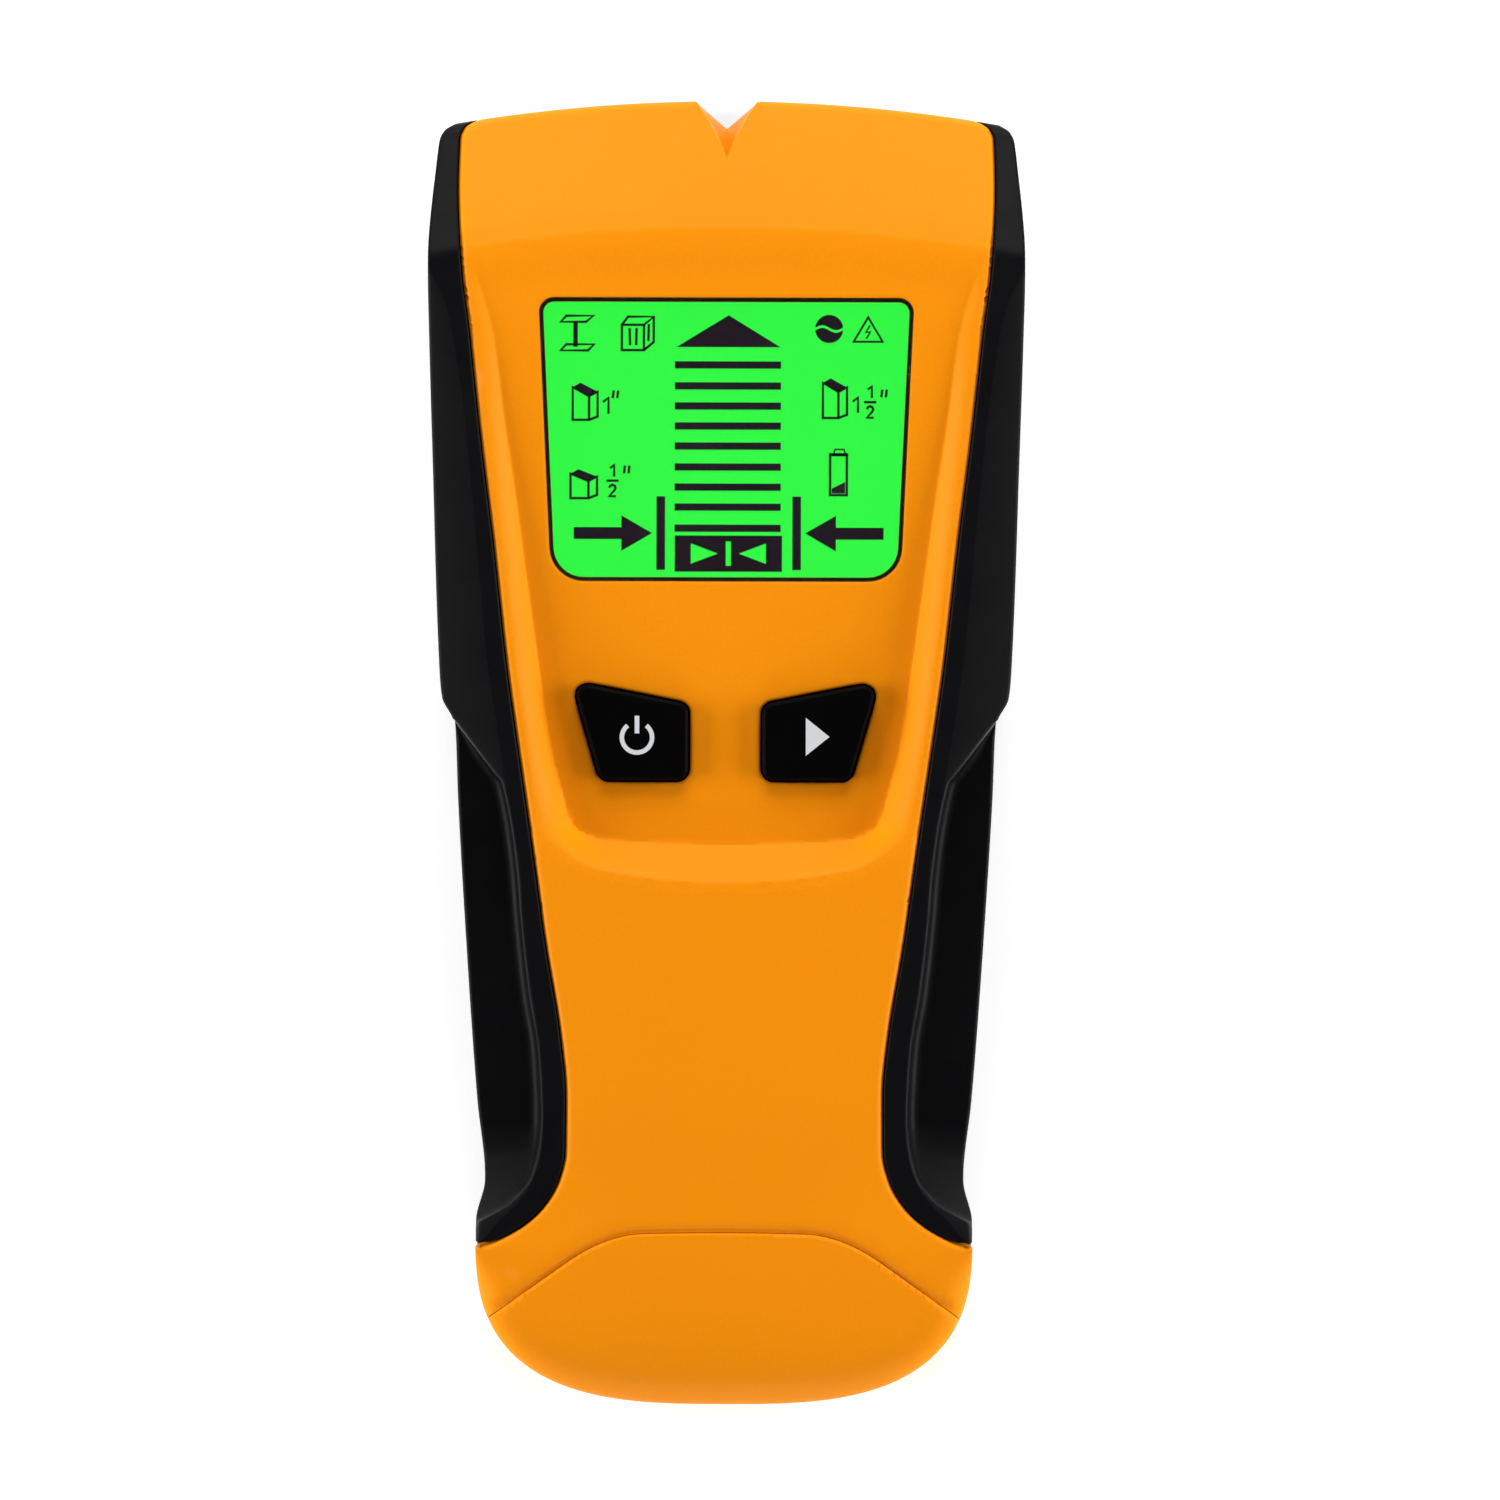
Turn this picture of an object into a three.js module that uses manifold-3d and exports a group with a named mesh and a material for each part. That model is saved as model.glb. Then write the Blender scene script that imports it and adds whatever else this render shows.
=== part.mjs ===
// A hand-held electronic stud finder, lying flat on its back.
// Millimetres, +Z out of the display face, +Y towards the marking notch, +X to the right.
// The origin is the middle of the footprint, on the plane that the glide pads rest on.
import * as THREE from "three";
import { mergeVertices } from "three/addons/utils/BufferGeometryUtils.js";
import Module from "manifold-3d";

// ---------------------------------------------------------------- driving dimensions

const HALF_LENGTH = 80; // the notch end and the round end, from the origin
const PAD_TOP = 0.5; // the glide pads stand on z = 0
const BACK = 0.8; // back face of the rear shell
const BACK_CHAMFER = 2;
const SPLIT = 13; // where the rear shell ends and the front shell starts
const WALL = 2.2; // wall of all the mouldings
const GAP = 0.3; // clearance between neighbouring pieces

const END_BOW = 2.6; // how far the notch end falls back at its corners
const END_BOW_AT = 32; // distance from the middle where it has fallen that far
const ROUND_START = -60; // the round end starts here
const ROUND_HALF_WIDTH = 30.4;

const CREASE = 64.3; // line where the sloping nose meets the face
const CREASE_Z = 25.2;
const NOSE_SLOPE = 0.44; // fall of the nose per millimetre towards the notch
const CROWN = 0.9; // rise of the handle's middle over its edges

const RECESS_FLOOR = 25;
const RECESS_TOP = 58; // the recess floor is flat from here down to RECESS_BOTTOM
const RECESS_BOTTOM = -11.2;
const RECESS_WALL_END = -15.6; // top of the wall that closes the recess towards the handle

const NOTCH_HALF_WIDTH = 3.8;
const NOTCH_DEPTH = 3.3; // at the back
const NOTCH_FACE_DEPTH = 7.1; // at the height where the groove runs out on the nose
const NOTCH_SLOPE_START = 14; // height where the groove starts to lean back

const WINDOW = {
  top: 55.6, bottom: 20.9, topHalf: 23.0, bottomHalf: 21.4, topR: 1.8, bottomR: 4.2,
};
const WINDOW_LIP = 0.5; // ledge that the window is bonded to
const WINDOW_T = 1.1;

const KEY = { top: 8.6, topInner: 5.8, bottom: -3.45, inner: 4.55, outerTop: 18.8, outerBottom: 15.3 };
const KEY_R = 1.4;
const KEY_TOP = 26.5; // a key travels down from here until it is almost level with the face
const KEY_FLANGE = 1; // how far the flange that keeps a key in reaches under the face
const KEY_FLANGE_T = 0.8;

// The right half of the cap's upper edge, from the middle outwards.
const SEAM = [[0, -58.75], [10, -58.9], [14, -59.7], [18, -61.6], [28, -68.7]];

const BOARD_Z = 16.2; // underside of the main board
const BOARD_T = 1.6;
const BOARD_TOP = BOARD_Z + BOARD_T;
const LCD = { half: 22.6, bottom: 18.6, top: 57.6, z: 20.9, t: 1.8 };

const SENSOR_Z = 4.4;
const COIL = { x: 0, y: 47, z: 6.5, inner: 14.5, outer: 18.5, height: 5.2 };

const BATTERY = { halfWidth: 13.25, height: 17.5, low: -71.8, high: -25.3, z: 3.4 };
const TERMINAL_X = 6.35;

// Screw places as [x, y, top of the boss that takes the thread].
const CASE_SCREWS = [[-27, 68.5, 20.8], [27, 68.5, 20.8], [-17, -17.8, 27.2], [17, -17.8, 27.2]];
const BOARD_SCREWS = [[-24.5, 61.3, 23.6], [24.5, 61.3, 23.6], [-14.5, -8.6, 23.6], [14.5, -8.6, 23.6]];

// ---------------------------------------------------------------- curves of the body

const clamp01 = (t) => Math.min(1, Math.max(0, t));

// 0 before a, 1 after b, with a soft start and end.
function ease(value, a, b) {
  const t = clamp01((value - a) / (b - a));
  return t * t * (3 - 2 * t);
}

// A smooth curve through [position, value] stations, which never overshoots them.
function through(stations) {
  const slope = (i) => (stations[i + 1][1] - stations[i][1]) / (stations[i + 1][0] - stations[i][0]);
  const tangents = stations.map((_, i) => {
    if (i === 0) return slope(0);
    if (i === stations.length - 1) return slope(i - 1);
    const before = slope(i - 1);
    const after = slope(i);
    return before * after <= 0 ? 0 : (2 * before * after) / (before + after);
  });
  return (position) => {
    const last = stations.length - 2;
    let i = 0;
    while (i < last && position > stations[i + 1][0]) i += 1;
    const [x0, y0] = stations[i];
    const [x1, y1] = stations[i + 1];
    const width = x1 - x0;
    const t = clamp01((position - x0) / width);
    const rise = t * t * (3 - 2 * t);
    const bend0 = t * (1 - t) * (1 - t) * width * tangents[i];
    const bend1 = t * t * (t - 1) * width * tangents[i + 1];
    return y0 + (y1 - y0) * rise + bend0 + bend1;
  };
}

// Half-width of the whole body, above the round end.
const sideCurve = through([
  [-60, 30.4], [-57.4, 30.4], [-52.5, 29.4], [-42.7, 30.4], [-25.5, 31.7], [-5.9, 32.9], [3.6, 33.3],
  [6.6, 34.7], [9.5, 35.0], [31, 35.8], [63.5, 36.6], [76, 35.6], [78.2, 35.3], [79.3, 34.7], [80, 33.3],
]);

// Half-width of the orange face between the grips.
const faceCurve = through([
  [-60.6, 30.4], [-59.9, 28.1], [-57.4, 23.8], [-55, 21.55], [-52.5, 20.2], [-49, 19.4], [-42, 19.35],
  [-35.3, 19.95], [-23, 21.95], [-13.3, 23.3], [1.5, 25.45], [10, 26.65], [26, 28.45], [38, 29.95],
  [50.5, 31.3], [64, 32.55], [72, 32.9], [78, 32.75], [79.2, 32.2], [79.7, 31.3], [80, 29.9],
]);

// Half-width of the flat recess floor.
const floorCurve = through([
  [-11.5, 17.8], [-7, 19.5], [1.5, 21.5], [10, 22.8], [20, 24.2], [31, 25.7], [41, 27.2], [50, 28.3],
  [62, 30.9],
]);

// Outer edge of the ridge that each grip raises beside the face.
const ridgeCurve = through([
  [-60, 30.2], [-57.7, 30.0], [-57, 29.0], [-56, 27.2], [-55, 25.8], [-54, 24.9], [-52.5, 23.7],
  [-50, 22.9], [-48, 22.5], [-44.8, 22.3], [-36.6, 22.7], [-30, 23.8], [-20, 24.9], [-15, 25.3],
  [-3.8, 27.2], [-2.8, 28], [3.9, 33.1],
]);

// Height of the face along its edges, from the round end up to the crease.
const edgeCurve = through([
  [-80, 21.2], [-79, 23.6], [-77, 24.9], [-72, 26.2], [-66, 26.9], [-58, 27.4], [-40, 28.2], [-15, 28.4],
  [0, 28.2], [20, 27.5], [45, 26.3], [CREASE, CREASE_Z],
]);

// The round end is a blunt superellipse.
const END_POWER = 2.6;
const SIDE_POWER = 3;
function roundEnd(v) {
  const t = clamp01((ROUND_START - v) / (HALF_LENGTH + ROUND_START));
  return ROUND_HALF_WIDTH * Math.max(0.02, 1 - t ** END_POWER) ** (1 / SIDE_POWER);
}

const bodyHalf = (v) => (v < ROUND_START ? roundEnd(v) : sideCurve(v));
const faceHalf = (v) => (v < -60.6 ? roundEnd(v) : Math.min(faceCurve(v), bodyHalf(v)));

// The rows of the body are straight across, except that they bow back near the notch end.
const bowed = (x, v) => v - END_BOW * (x / END_BOW_AT) ** 2 * ease(v, 50, 63);

const edgeHeight = (v) => (v > CREASE ? CREASE_Z - NOSE_SLOPE * (v - CREASE) : edgeCurve(v));

// Height of the recess floor: it rises to the crease at one end and to the handle at the other.
function floorHeight(v) {
  const handle = edgeHeight(v) + CROWN;
  const down = ease(v, RECESS_BOTTOM, RECESS_WALL_END);
  const up = ease(v, RECESS_TOP, CREASE);
  return RECESS_FLOOR + (handle - RECESS_FLOOR) * down + (edgeHeight(v) - RECESS_FLOOR) * up;
}

// ---------------------------------------------------------------- solids

const wasm = await Module();
wasm.setup();

// A three.js geometry as a solid that can be joined and cut.
function solid(geometry) {
  const bare = geometry.clone();
  bare.deleteAttribute("normal");
  bare.deleteAttribute("uv");
  const merged = mergeVertices(bare, 1e-4);
  const mesh = new wasm.Mesh({
    numProp: 3,
    vertProperties: new Float32Array(merged.attributes.position.array),
    triVerts: new Uint32Array(merged.index.array),
  });
  return new wasm.Manifold(mesh);
}

// A cut or joined solid as a three.js geometry.
function geometryOf(made) {
  const mesh = made.getMesh();
  const geometry = new THREE.BufferGeometry();
  geometry.setAttribute("position", new THREE.BufferAttribute(new Float32Array(mesh.vertProperties), 3));
  geometry.setIndex(new THREE.BufferAttribute(new Uint32Array(mesh.triVerts), 1));
  geometry.computeVertexNormals();
  return geometry;
}

const joined = (base, ...more) => more.reduce((sum, next) => sum.add(next), base);
const cut = (base, ...tools) => tools.reduce((rest, tool) => rest.subtract(tool), base);

// A box between two opposite corners.
function block([x0, y0, z0], [x1, y1, z1]) {
  const geometry = new THREE.BoxGeometry(x1 - x0, y1 - y0, z1 - z0);
  return geometry.translate((x0 + x1) / 2, (y0 + y1) / 2, (z0 + z1) / 2);
}

// An upright round pin.
function pin(x, y, z0, z1, radius, sides = 20) {
  const geometry = new THREE.CylinderGeometry(radius, radius, z1 - z0, sides);
  return geometry.rotateX(Math.PI / 2).translate(x, y, (z0 + z1) / 2);
}

// A round pin lying along Y.
function lyingPin(x, z, y0, y1, radius, sides = 20) {
  const geometry = new THREE.CylinderGeometry(radius, radius, y1 - y0, sides);
  return geometry.translate(x, (y0 + y1) / 2, z);
}

// A plan outline made solid between two heights.
function plate(shape, z0, z1) {
  const options = { depth: z1 - z0, bevelEnabled: false, curveSegments: 8 };
  return new THREE.ExtrudeGeometry(shape, options).translate(0, 0, z0);
}

// A closed outline with a round at each corner; corners are [x, y, radius], counter-clockwise.
function roundedShape(corners) {
  const shape = new THREE.Shape();
  corners.forEach(([x, y, radius], i) => {
    const here = new THREE.Vector2(x, y);
    const neighbour = (step) => {
      const [px, py] = corners[(i + step + corners.length) % corners.length];
      return new THREE.Vector2(px, py).sub(here).normalize();
    };
    const before = neighbour(-1);
    const after = neighbour(1);
    const halfAngle = before.angleTo(after) / 2;
    const reach = radius / Math.tan(halfAngle);
    const start = here.clone().addScaledVector(before, reach);
    const inwards = before.clone().add(after).normalize();
    const centre = here.clone().addScaledVector(inwards, radius / Math.sin(halfAngle));
    const from = start.clone().sub(centre).angle();
    const turn = Math.PI - 2 * halfAngle;
    if (i === 0) shape.moveTo(start.x, start.y);
    shape.absarc(centre.x, centre.y, radius, from, from + turn, false);
  });
  shape.closePath();
  return shape;
}

// A solid over a grid of columns (across) and rows (along), shaped by place(u, v, w), each from 0 to 1.
function sculpted(columns, rows, place) {
  const geometry = new THREE.BoxGeometry(1, 1, 1, columns, rows, 1);
  const points = geometry.attributes.position;
  for (let i = 0; i < points.count; i += 1) {
    const [x, y, z] = place(points.getX(i) + 0.5, points.getY(i) + 0.5, points.getZ(i) + 0.5);
    points.setXYZ(i, x, y, z);
  }
  return geometry;
}

// Row positions from low to high: the feature lines, and even steps between them.
function rowsBetween(features, step) {
  const rows = [features[0]];
  features.slice(1).forEach((next, i) => {
    const count = Math.max(1, Math.round((next - features[i]) / step));
    for (let k = 1; k <= count; k += 1) rows.push(features[i] + ((next - features[i]) * k) / count);
  });
  return rows;
}

const pick = (list, fraction) => list[Math.round(fraction * (list.length - 1))];

// ---------------------------------------------------------------- outlines in plan

// The plan outline of the body, drawn in by inset.
function bodyOutline(inset) {
  const right = [];
  const arcSteps = 9;
  for (let i = 0; i <= arcSteps; i += 1) {
    const angle = ((1 - i / arcSteps) * Math.PI) / 2;
    const t = Math.sin(angle) ** (2 / END_POWER);
    const x = (ROUND_HALF_WIDTH - inset) * Math.cos(angle) ** (2 / SIDE_POWER);
    right.push([x, ROUND_START - (HALF_LENGTH + ROUND_START - inset) * t]);
  }
  const rows = rowsBetween([-57.4, -52.5, -42.7, -5.9, 3.6, 6.6, 9.5, 31, 63.5, 76, 78.2, 79.3, 80], 12);
  rows.forEach((v) => {
    const x = bodyHalf(v) - inset;
    right.push([x, bowed(x, v) - inset * ease(v, 60, 80)]);
  });
  for (let part = 3; part >= 1; part -= 1) {
    const x = ((bodyHalf(HALF_LENGTH) - inset) * part) / 4;
    right.push([x, bowed(x, HALF_LENGTH) - inset]);
  }
  const left = right.slice(1).reverse().map(([x, y]) => [-x, y]);
  const points = [...right, [0, HALF_LENGTH - inset], ...left];
  return new THREE.Shape(points.map(([x, y]) => new THREE.Vector2(x, y)));
}

// The body outline between two heights, with its lower edge chamfered.
function bodyBlank(inset, z0, z1, chamfer) {
  const options = {
    depth: z1 - z0, bevelEnabled: chamfer > 0, bevelThickness: chamfer, bevelSize: chamfer,
    bevelOffset: -chamfer, bevelSegments: 2,
  };
  const geometry = new THREE.ExtrudeGeometry(bodyOutline(inset), options);
  return geometry.translate(0, 0, z0 + chamfer);
}

// Everything on the round end's side of the seam, moved by shift along Y.
function endRegion(shift) {
  const reach = 40; // clear of the body on each side
  const [x0, y0] = SEAM[SEAM.length - 2];
  const [x1, y1] = SEAM[SEAM.length - 1];
  const right = [...SEAM, [reach, y1 + ((y1 - y0) / (x1 - x0)) * (reach - x1)]].reverse();
  const left = right.slice(0, -1).reverse().map(([x, y]) => [-x, y]);
  const points = [[-reach, -100], [reach, -100], ...[...right, ...left].map(([x, y]) => [x, y + shift])];
  const shape = new THREE.Shape(points.map(([x, y]) => new THREE.Vector2(x, y)));
  return solid(plate(shape, -5, 40));
}

// ---------------------------------------------------------------- the sculpted face

const FACE_ROWS = rowsBetween(
  [-80, -79.6, -79, -78, -76, -72, -66, -60.6, -59.9, -57.4, -55, -52.5, -49, -42, -30, RECESS_WALL_END,
    RECESS_BOTTOM, -3, 9, 29, 50, RECESS_TOP, 61.5, CREASE, 74, 78, 79.2, 79.7, HALF_LENGTH], 10);

// The face's section at v, from the middle outwards, as [x, z]; inset makes the inside of the wall.
function faceSection(v, inset) {
  const half = faceHalf(v);
  const inRecess = v > RECESS_WALL_END && v < CREASE;
  const edge = edgeHeight(v);
  const floor = v > RECESS_WALL_END ? Math.min(floorCurve(v), half - 1.2) : half * 0.75;
  const crowned = (x) => edge + CROWN * (1 - (x / half) ** 2);
  const low = (x) => {
    if (inRecess) return floorHeight(v);
    return v >= CREASE ? edge : crowned(x);
  };
  const scale = (half - inset) / half;
  const outline = [
    [0, low(0)], [floor / 2, low(floor / 2)], [floor, low(floor)], [half - 0.7, edge], [half, edge - 0.6],
  ];
  return outline.map(([x, z]) => [x * scale, z - inset]);
}

// The solid under the face, standing on height base.
function underFace(base, inset, rows) {
  return sculpted(8, rows.length - 1, (u, t, w) => {
    const v = pick(rows, t);
    const across = Math.round(u * 8) - 4;
    const [x, z] = faceSection(v, inset)[Math.abs(across)];
    const end = v > 70 ? Math.min(v, HALF_LENGTH - inset) : v;
    const signed = Math.sign(across) * x;
    return [signed, bowed(signed, end), w > 0.5 ? z : base];
  });
}

// The marking notch, cut through both shells; it leans back across the nose.
function notchTool() {
  const levels = [-1, NOTCH_SLOPE_START, 30];
  const runOut = edgeHeight(HALF_LENGTH - NOTCH_FACE_DEPTH);
  const lean = (NOTCH_FACE_DEPTH - NOTCH_DEPTH) / (runOut - NOTCH_SLOPE_START);
  const wedge = (z0, z1) => sculpted(2, 1, (u, t, w) => {
    const z = w > 0.5 ? z1 : z0;
    const depth = NOTCH_DEPTH + Math.max(0, z - NOTCH_SLOPE_START) * lean;
    const side = Math.round(u * 2) - 1;
    if (t > 0.5) return [side * NOTCH_HALF_WIDTH * 1.6, HALF_LENGTH + 3, z];
    return side === 0 ? [0, HALF_LENGTH - depth, z] : [side * NOTCH_HALF_WIDTH, HALF_LENGTH + 0.01, z];
  });
  return joined(solid(wedge(levels[0], levels[1])), solid(wedge(levels[1], levels[2])));
}

// ---------------------------------------------------------------- outlines of window and keys

// The window's outline, grown by grow.
function windowShape(grow) {
  const { top, bottom, topHalf, bottomHalf, topR, bottomR } = WINDOW;
  return roundedShape([
    [bottomHalf + grow, bottom - grow, bottomR + grow], [topHalf + grow, top + grow, topR + grow],
    [-topHalf - grow, top + grow, topR + grow], [-bottomHalf - grow, bottom - grow, bottomR + grow],
  ]);
}

// A key's outline, grown by grow; side is 1 for the right key and -1 for the left one.
function keyShape(side, grow) {
  const radius = KEY_R + Math.max(0, grow);
  const right = [
    [KEY.inner - grow, KEY.bottom - grow, radius], [KEY.outerBottom + grow, KEY.bottom - grow, radius],
    [KEY.outerTop + grow, KEY.top + grow, radius], [KEY.inner - grow, KEY.topInner + grow, radius],
  ];
  if (side > 0) return roundedShape(right);
  return roundedShape(right.reverse().map(([x, y, r]) => [-x, y, r]));
}

// ---------------------------------------------------------------- case

const BOSS_R = 3;
const POST_R = 4;
const POST_TOP = 9;
const SCREW_R = 1.25;
const BOARD_BOSS_R = 2.1;
const BOARD_SCREW_R = 0.9;

function makeFrontShell() {
  const outer = solid(underFace(SPLIT + GAP, 0, FACE_ROWS));
  const inner = solid(underFace(SPLIT - 5, WALL, FACE_ROWS));
  const bosses = CASE_SCREWS.map(([x, y, top]) => solid(pin(x, y, POST_TOP + GAP, top, BOSS_R)));
  const boardBosses = BOARD_SCREWS.map(
    ([x, y, top]) => solid(pin(x, y, BOARD_TOP + GAP, top, BOARD_BOSS_R)));
  const pilots = CASE_SCREWS.map(([x, y]) => solid(pin(x, y, 0, 17, SCREW_R + GAP, 16)));
  const boardPilots = BOARD_SCREWS.map(([x, y]) => solid(pin(x, y, 0, 21.3, BOARD_SCREW_R + GAP, 16)));
  const windowSeat = solid(plate(windowShape(GAP), RECESS_FLOOR - WINDOW_T - GAP, 40));
  const windowHole = solid(plate(windowShape(-WINDOW_LIP), 15, 40));
  const keyHoles = [-1, 1].map((side) => solid(plate(keyShape(side, GAP), 15, 40)));
  const shell = joined(cut(outer, inner), ...bosses, ...boardBosses);
  const openings = [windowSeat, windowHole, ...keyHoles, notchTool(), endRegion(0)];
  return cut(shell, ...pilots, ...boardPilots, ...openings);
}

// A run of narrow slots through the back, under the buzzer.
function soundSlots() {
  return [-6, -3, 0, 3, 6].map((x) => solid(block([x - 0.6, 3, -1], [x + 0.6, 13, WALL + 3])));
}

function makeRearShell() {
  const above = solid(block([-50, -90, SPLIT], [50, 90, 40]));
  const blank = solid(bodyBlank(0, BACK, SPLIT + 6, BACK_CHAMFER)).subtract(above);
  const room = solid(bodyBlank(WALL, BACK + WALL, SPLIT + 6, 0));
  const posts = CASE_SCREWS.map(([x, y]) => solid(pin(x, y, BACK + 1, POST_TOP, POST_R)));
  const clearances = CASE_SCREWS.map(([x, y]) => solid(pin(x, y, -1, 30, SCREW_R + GAP, 16)));
  const counterbores = CASE_SCREWS.map(([x, y]) => solid(pin(x, y, -1, 6.8, 2.6 + GAP)));
  const partition = solid(block([-14.2, -18.4, BACK + 1], [14.2, -16.9, POST_TOP - 0.2]));
  const rails = [-14.3, 14.3].map(
    (x) => solid(block([x - 0.7, -57, BACK + 1], [x + 0.7, -21, SPLIT - 2])));
  const supports = [-18, 18].map((x) => solid(pin(x, 26, BACK + 1, SENSOR_Z - GAP, 2)));
  const tray = joined(cut(blank, room), ...posts, partition, ...rails, ...supports);
  return cut(tray, ...clearances, ...counterbores, ...soundSlots(), notchTool(), endRegion(0));
}

function makeBatteryCap() {
  const blank = solid(bodyBlank(0, BACK, 34, BACK_CHAMFER));
  const outer = solid(underFace(BACK, 0, FACE_ROWS)).intersect(blank);
  const capInset = WALL - 0.2;
  const inner = solid(underFace(BACK + capInset, capInset, FACE_ROWS))
    .intersect(solid(bodyBlank(capInset, BACK + capInset, 34, 0)));
  const shell = cut(outer, inner).intersect(endRegion(-GAP));
  const latchTop = 24.4;
  const latch = solid(block([-5, -66, latchTop - 1.6], [5, -53.5, latchTop]));
  const latchFoot = solid(block([-5, -66, latchTop - 0.2], [5, -61, 26.5]));
  return joined(shell, latch, latchFoot);
}

// A side grip: the high shoulder beside the display, a narrow ridge beside the handle, and the
// low floor of the finger scoop outside the ridge.
const GRIP_ROWS = rowsBetween(
  [-59.4, -58.4, -57.1, -55.8, -54.6, -52.5, -49.7, -44.8, -36.6, -21.8, -5, -2.8, 0.5, 3.9, 5.2, 6.6, 9.5,
    31, 63.5, 74, 78, 79, 79.6], 9);
const SHOULDER_START = 5; // above here the grip is one broad shoulder, and below it has a scoop
const RIDGE_MOST = 2.2; // width of the ridge's flat top
const SCOOP_Z = SPLIT + GAP + 1.4;
const SCOOP_RISE = 2.8; // the scoop's floor rises this much along the handle
const SCOOP_RAMP_START = 45; // the floor then climbs towards the ridge between these two distances
const SCOOP_RAMP_END = 58;
const RAMP_DROP = 2.2; // and stops this far below it

// The grip's section at v, from its inner edge outwards, as [x, z].
function gripSection(v) {
  const slope = (faceHalf(v + 0.2) - faceHalf(v - 0.2)) / 0.4;
  const inner = faceHalf(v) + GAP * Math.hypot(1, slope);
  const body = bodyHalf(v);
  const edge = edgeHeight(v) - 0.3;
  const shoulder = v > SHOULDER_START;
  const high = v > 3.9 ? body : Math.max(ridgeCurve(v), inner + 1.4);
  const room = high - inner;
  const crest = inner + Math.min(RIDGE_MOST, room * 0.45);
  const outer = shoulder ? edge - 0.6 * room : edge - 0.8;
  const top = [[inner, edge], [crest, edge], [high - 0.6, outer]];
  if (shoulder) return [...top, [high - 0.1, outer - 1.5], [high, 18], [high + 0.05, 15]];
  const floor = SCOOP_Z + SCOOP_RISE * ease(-v, 8, SCOOP_RAMP_START);
  const ramp = floor + (outer - RAMP_DROP - floor) * ease(-v, SCOOP_RAMP_START, SCOOP_RAMP_END);
  const limit = Math.max(high + 0.1, body - 0.6);
  const foot = Math.min(high + 1.2, limit - 0.05);
  return [...top, [high - 0.05, Math.max(outer - 2.5, ramp + 0.2)], [foot, ramp + 0.1], [limit, ramp]];
}

function makeGrip(side) {
  const columns = 5;
  return solid(sculpted(columns, GRIP_ROWS.length - 1, (u, t, w) => {
    const v = pick(GRIP_ROWS, t);
    const section = gripSection(v);
    const outward = side > 0 ? u : 1 - u;
    const [x, z] = section[Math.round(outward * columns)];
    return [side * x, bowed(x, v), w > 0.5 ? z : SPLIT + GAP];
  }));
}

// ---------------------------------------------------------------- display and keys

const makeWindow = () => solid(plate(windowShape(0), RECESS_FLOOR - WINDOW_T, RECESS_FLOOR - 0.1));

const makeLcdPanel = () => solid(
  block([-LCD.half, LCD.bottom, LCD.z], [LCD.half, LCD.top, LCD.z + LCD.t]));

function makeLcdFrame() {
  const rim = 1.4;
  const low = LCD.z - 1.5;
  const high = LCD.z + LCD.t;
  const outer = block([-LCD.half - rim, LCD.bottom - rim, low], [LCD.half + rim, LCD.top + rim, high]);
  const opening = block([-LCD.half - GAP, LCD.bottom - GAP, 0], [LCD.half + GAP, LCD.top + GAP, 40]);
  return cut(solid(outer), solid(opening));
}

function makeBacklightPlate() {
  const low = LCD.z - GAP - 1.6;
  return solid(block([-20.2, LCD.bottom + 3, low], [20.2, LCD.top - 3, LCD.z - GAP]));
}

const makeBacklightLed = (side) => solid(
  block([side * 21.4 - 0.7, 36, 18.2], [side * 21.4 + 0.7, 39.5, 20.4]));

const makeLcdConnector = (y) => solid(block([-20, y - 0.9, BOARD_TOP + GAP], [20, y + 0.9, LCD.z - GAP]));

// A key cap: its raised top, and a flange under the face that keeps it in.
const FLANGE_TOP = RECESS_FLOOR - WALL - GAP;
const FLANGE_BOTTOM = FLANGE_TOP - KEY_FLANGE_T;
function makeKey(side) {
  const cap = solid(plate(keyShape(side, 0), FLANGE_TOP, KEY_TOP));
  return joined(cap, solid(plate(keyShape(side, KEY_FLANGE), FLANGE_BOTTOM, FLANGE_TOP)));
}

const KEY_X = 10.6;
const KEY_Y = 1.2;
const SWITCH_HALF = 3;
const SWITCH_TOP = 20.2;
const PLUNGER_R = 1.7;

function makeSwitchBody(side) {
  const x = side * KEY_X;
  const low = BOARD_TOP + GAP;
  const housing = solid(block(
    [x - SWITCH_HALF, KEY_Y - SWITCH_HALF, low], [x + SWITCH_HALF, KEY_Y + SWITCH_HALF, SWITCH_TOP]));
  return cut(housing, solid(pin(x, KEY_Y, low + 0.6, 30, PLUNGER_R + GAP)));
}

function makeSwitchPlunger(side) {
  return solid(pin(side * KEY_X, KEY_Y, SWITCH_TOP - 0.4, FLANGE_BOTTOM - GAP, PLUNGER_R));
}

// ---------------------------------------------------------------- main board

function makeMainBoard() {
  const corners = [[-19, -11.5], [19, -11.5], [25.8, 34], [26.8, 63], [-26.8, 63], [-25.8, 34]];
  const shape = new THREE.Shape(corners.map(([x, y]) => new THREE.Vector2(x, y)));
  const holes = BOARD_SCREWS.map(([x, y]) => solid(pin(x, y, 0, 40, BOARD_SCREW_R + GAP, 16)));
  return cut(solid(plate(shape, BOARD_Z, BOARD_TOP)), ...holes);
}

// A chip hung under the main board.
function underBoard(x, y, halfX, halfY, height) {
  const top = BOARD_Z - GAP;
  return solid(block([x - halfX, y - halfY, top - height], [x + halfX, y + halfY, top]));
}

const makeControllerChip = () => underBoard(0, 40, 6, 6, 1.5);
const makeCrystal = () => underBoard(-15, 14, 5.2, 2.1, 3.4);
const makeTrimmer = () => underBoard(0, 14, 3.3, 3.3, 4);
const makeCapacitor = () => solid(lyingPin(15, BOARD_Z - GAP - 3.1, 8, 18, 3.1));

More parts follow.
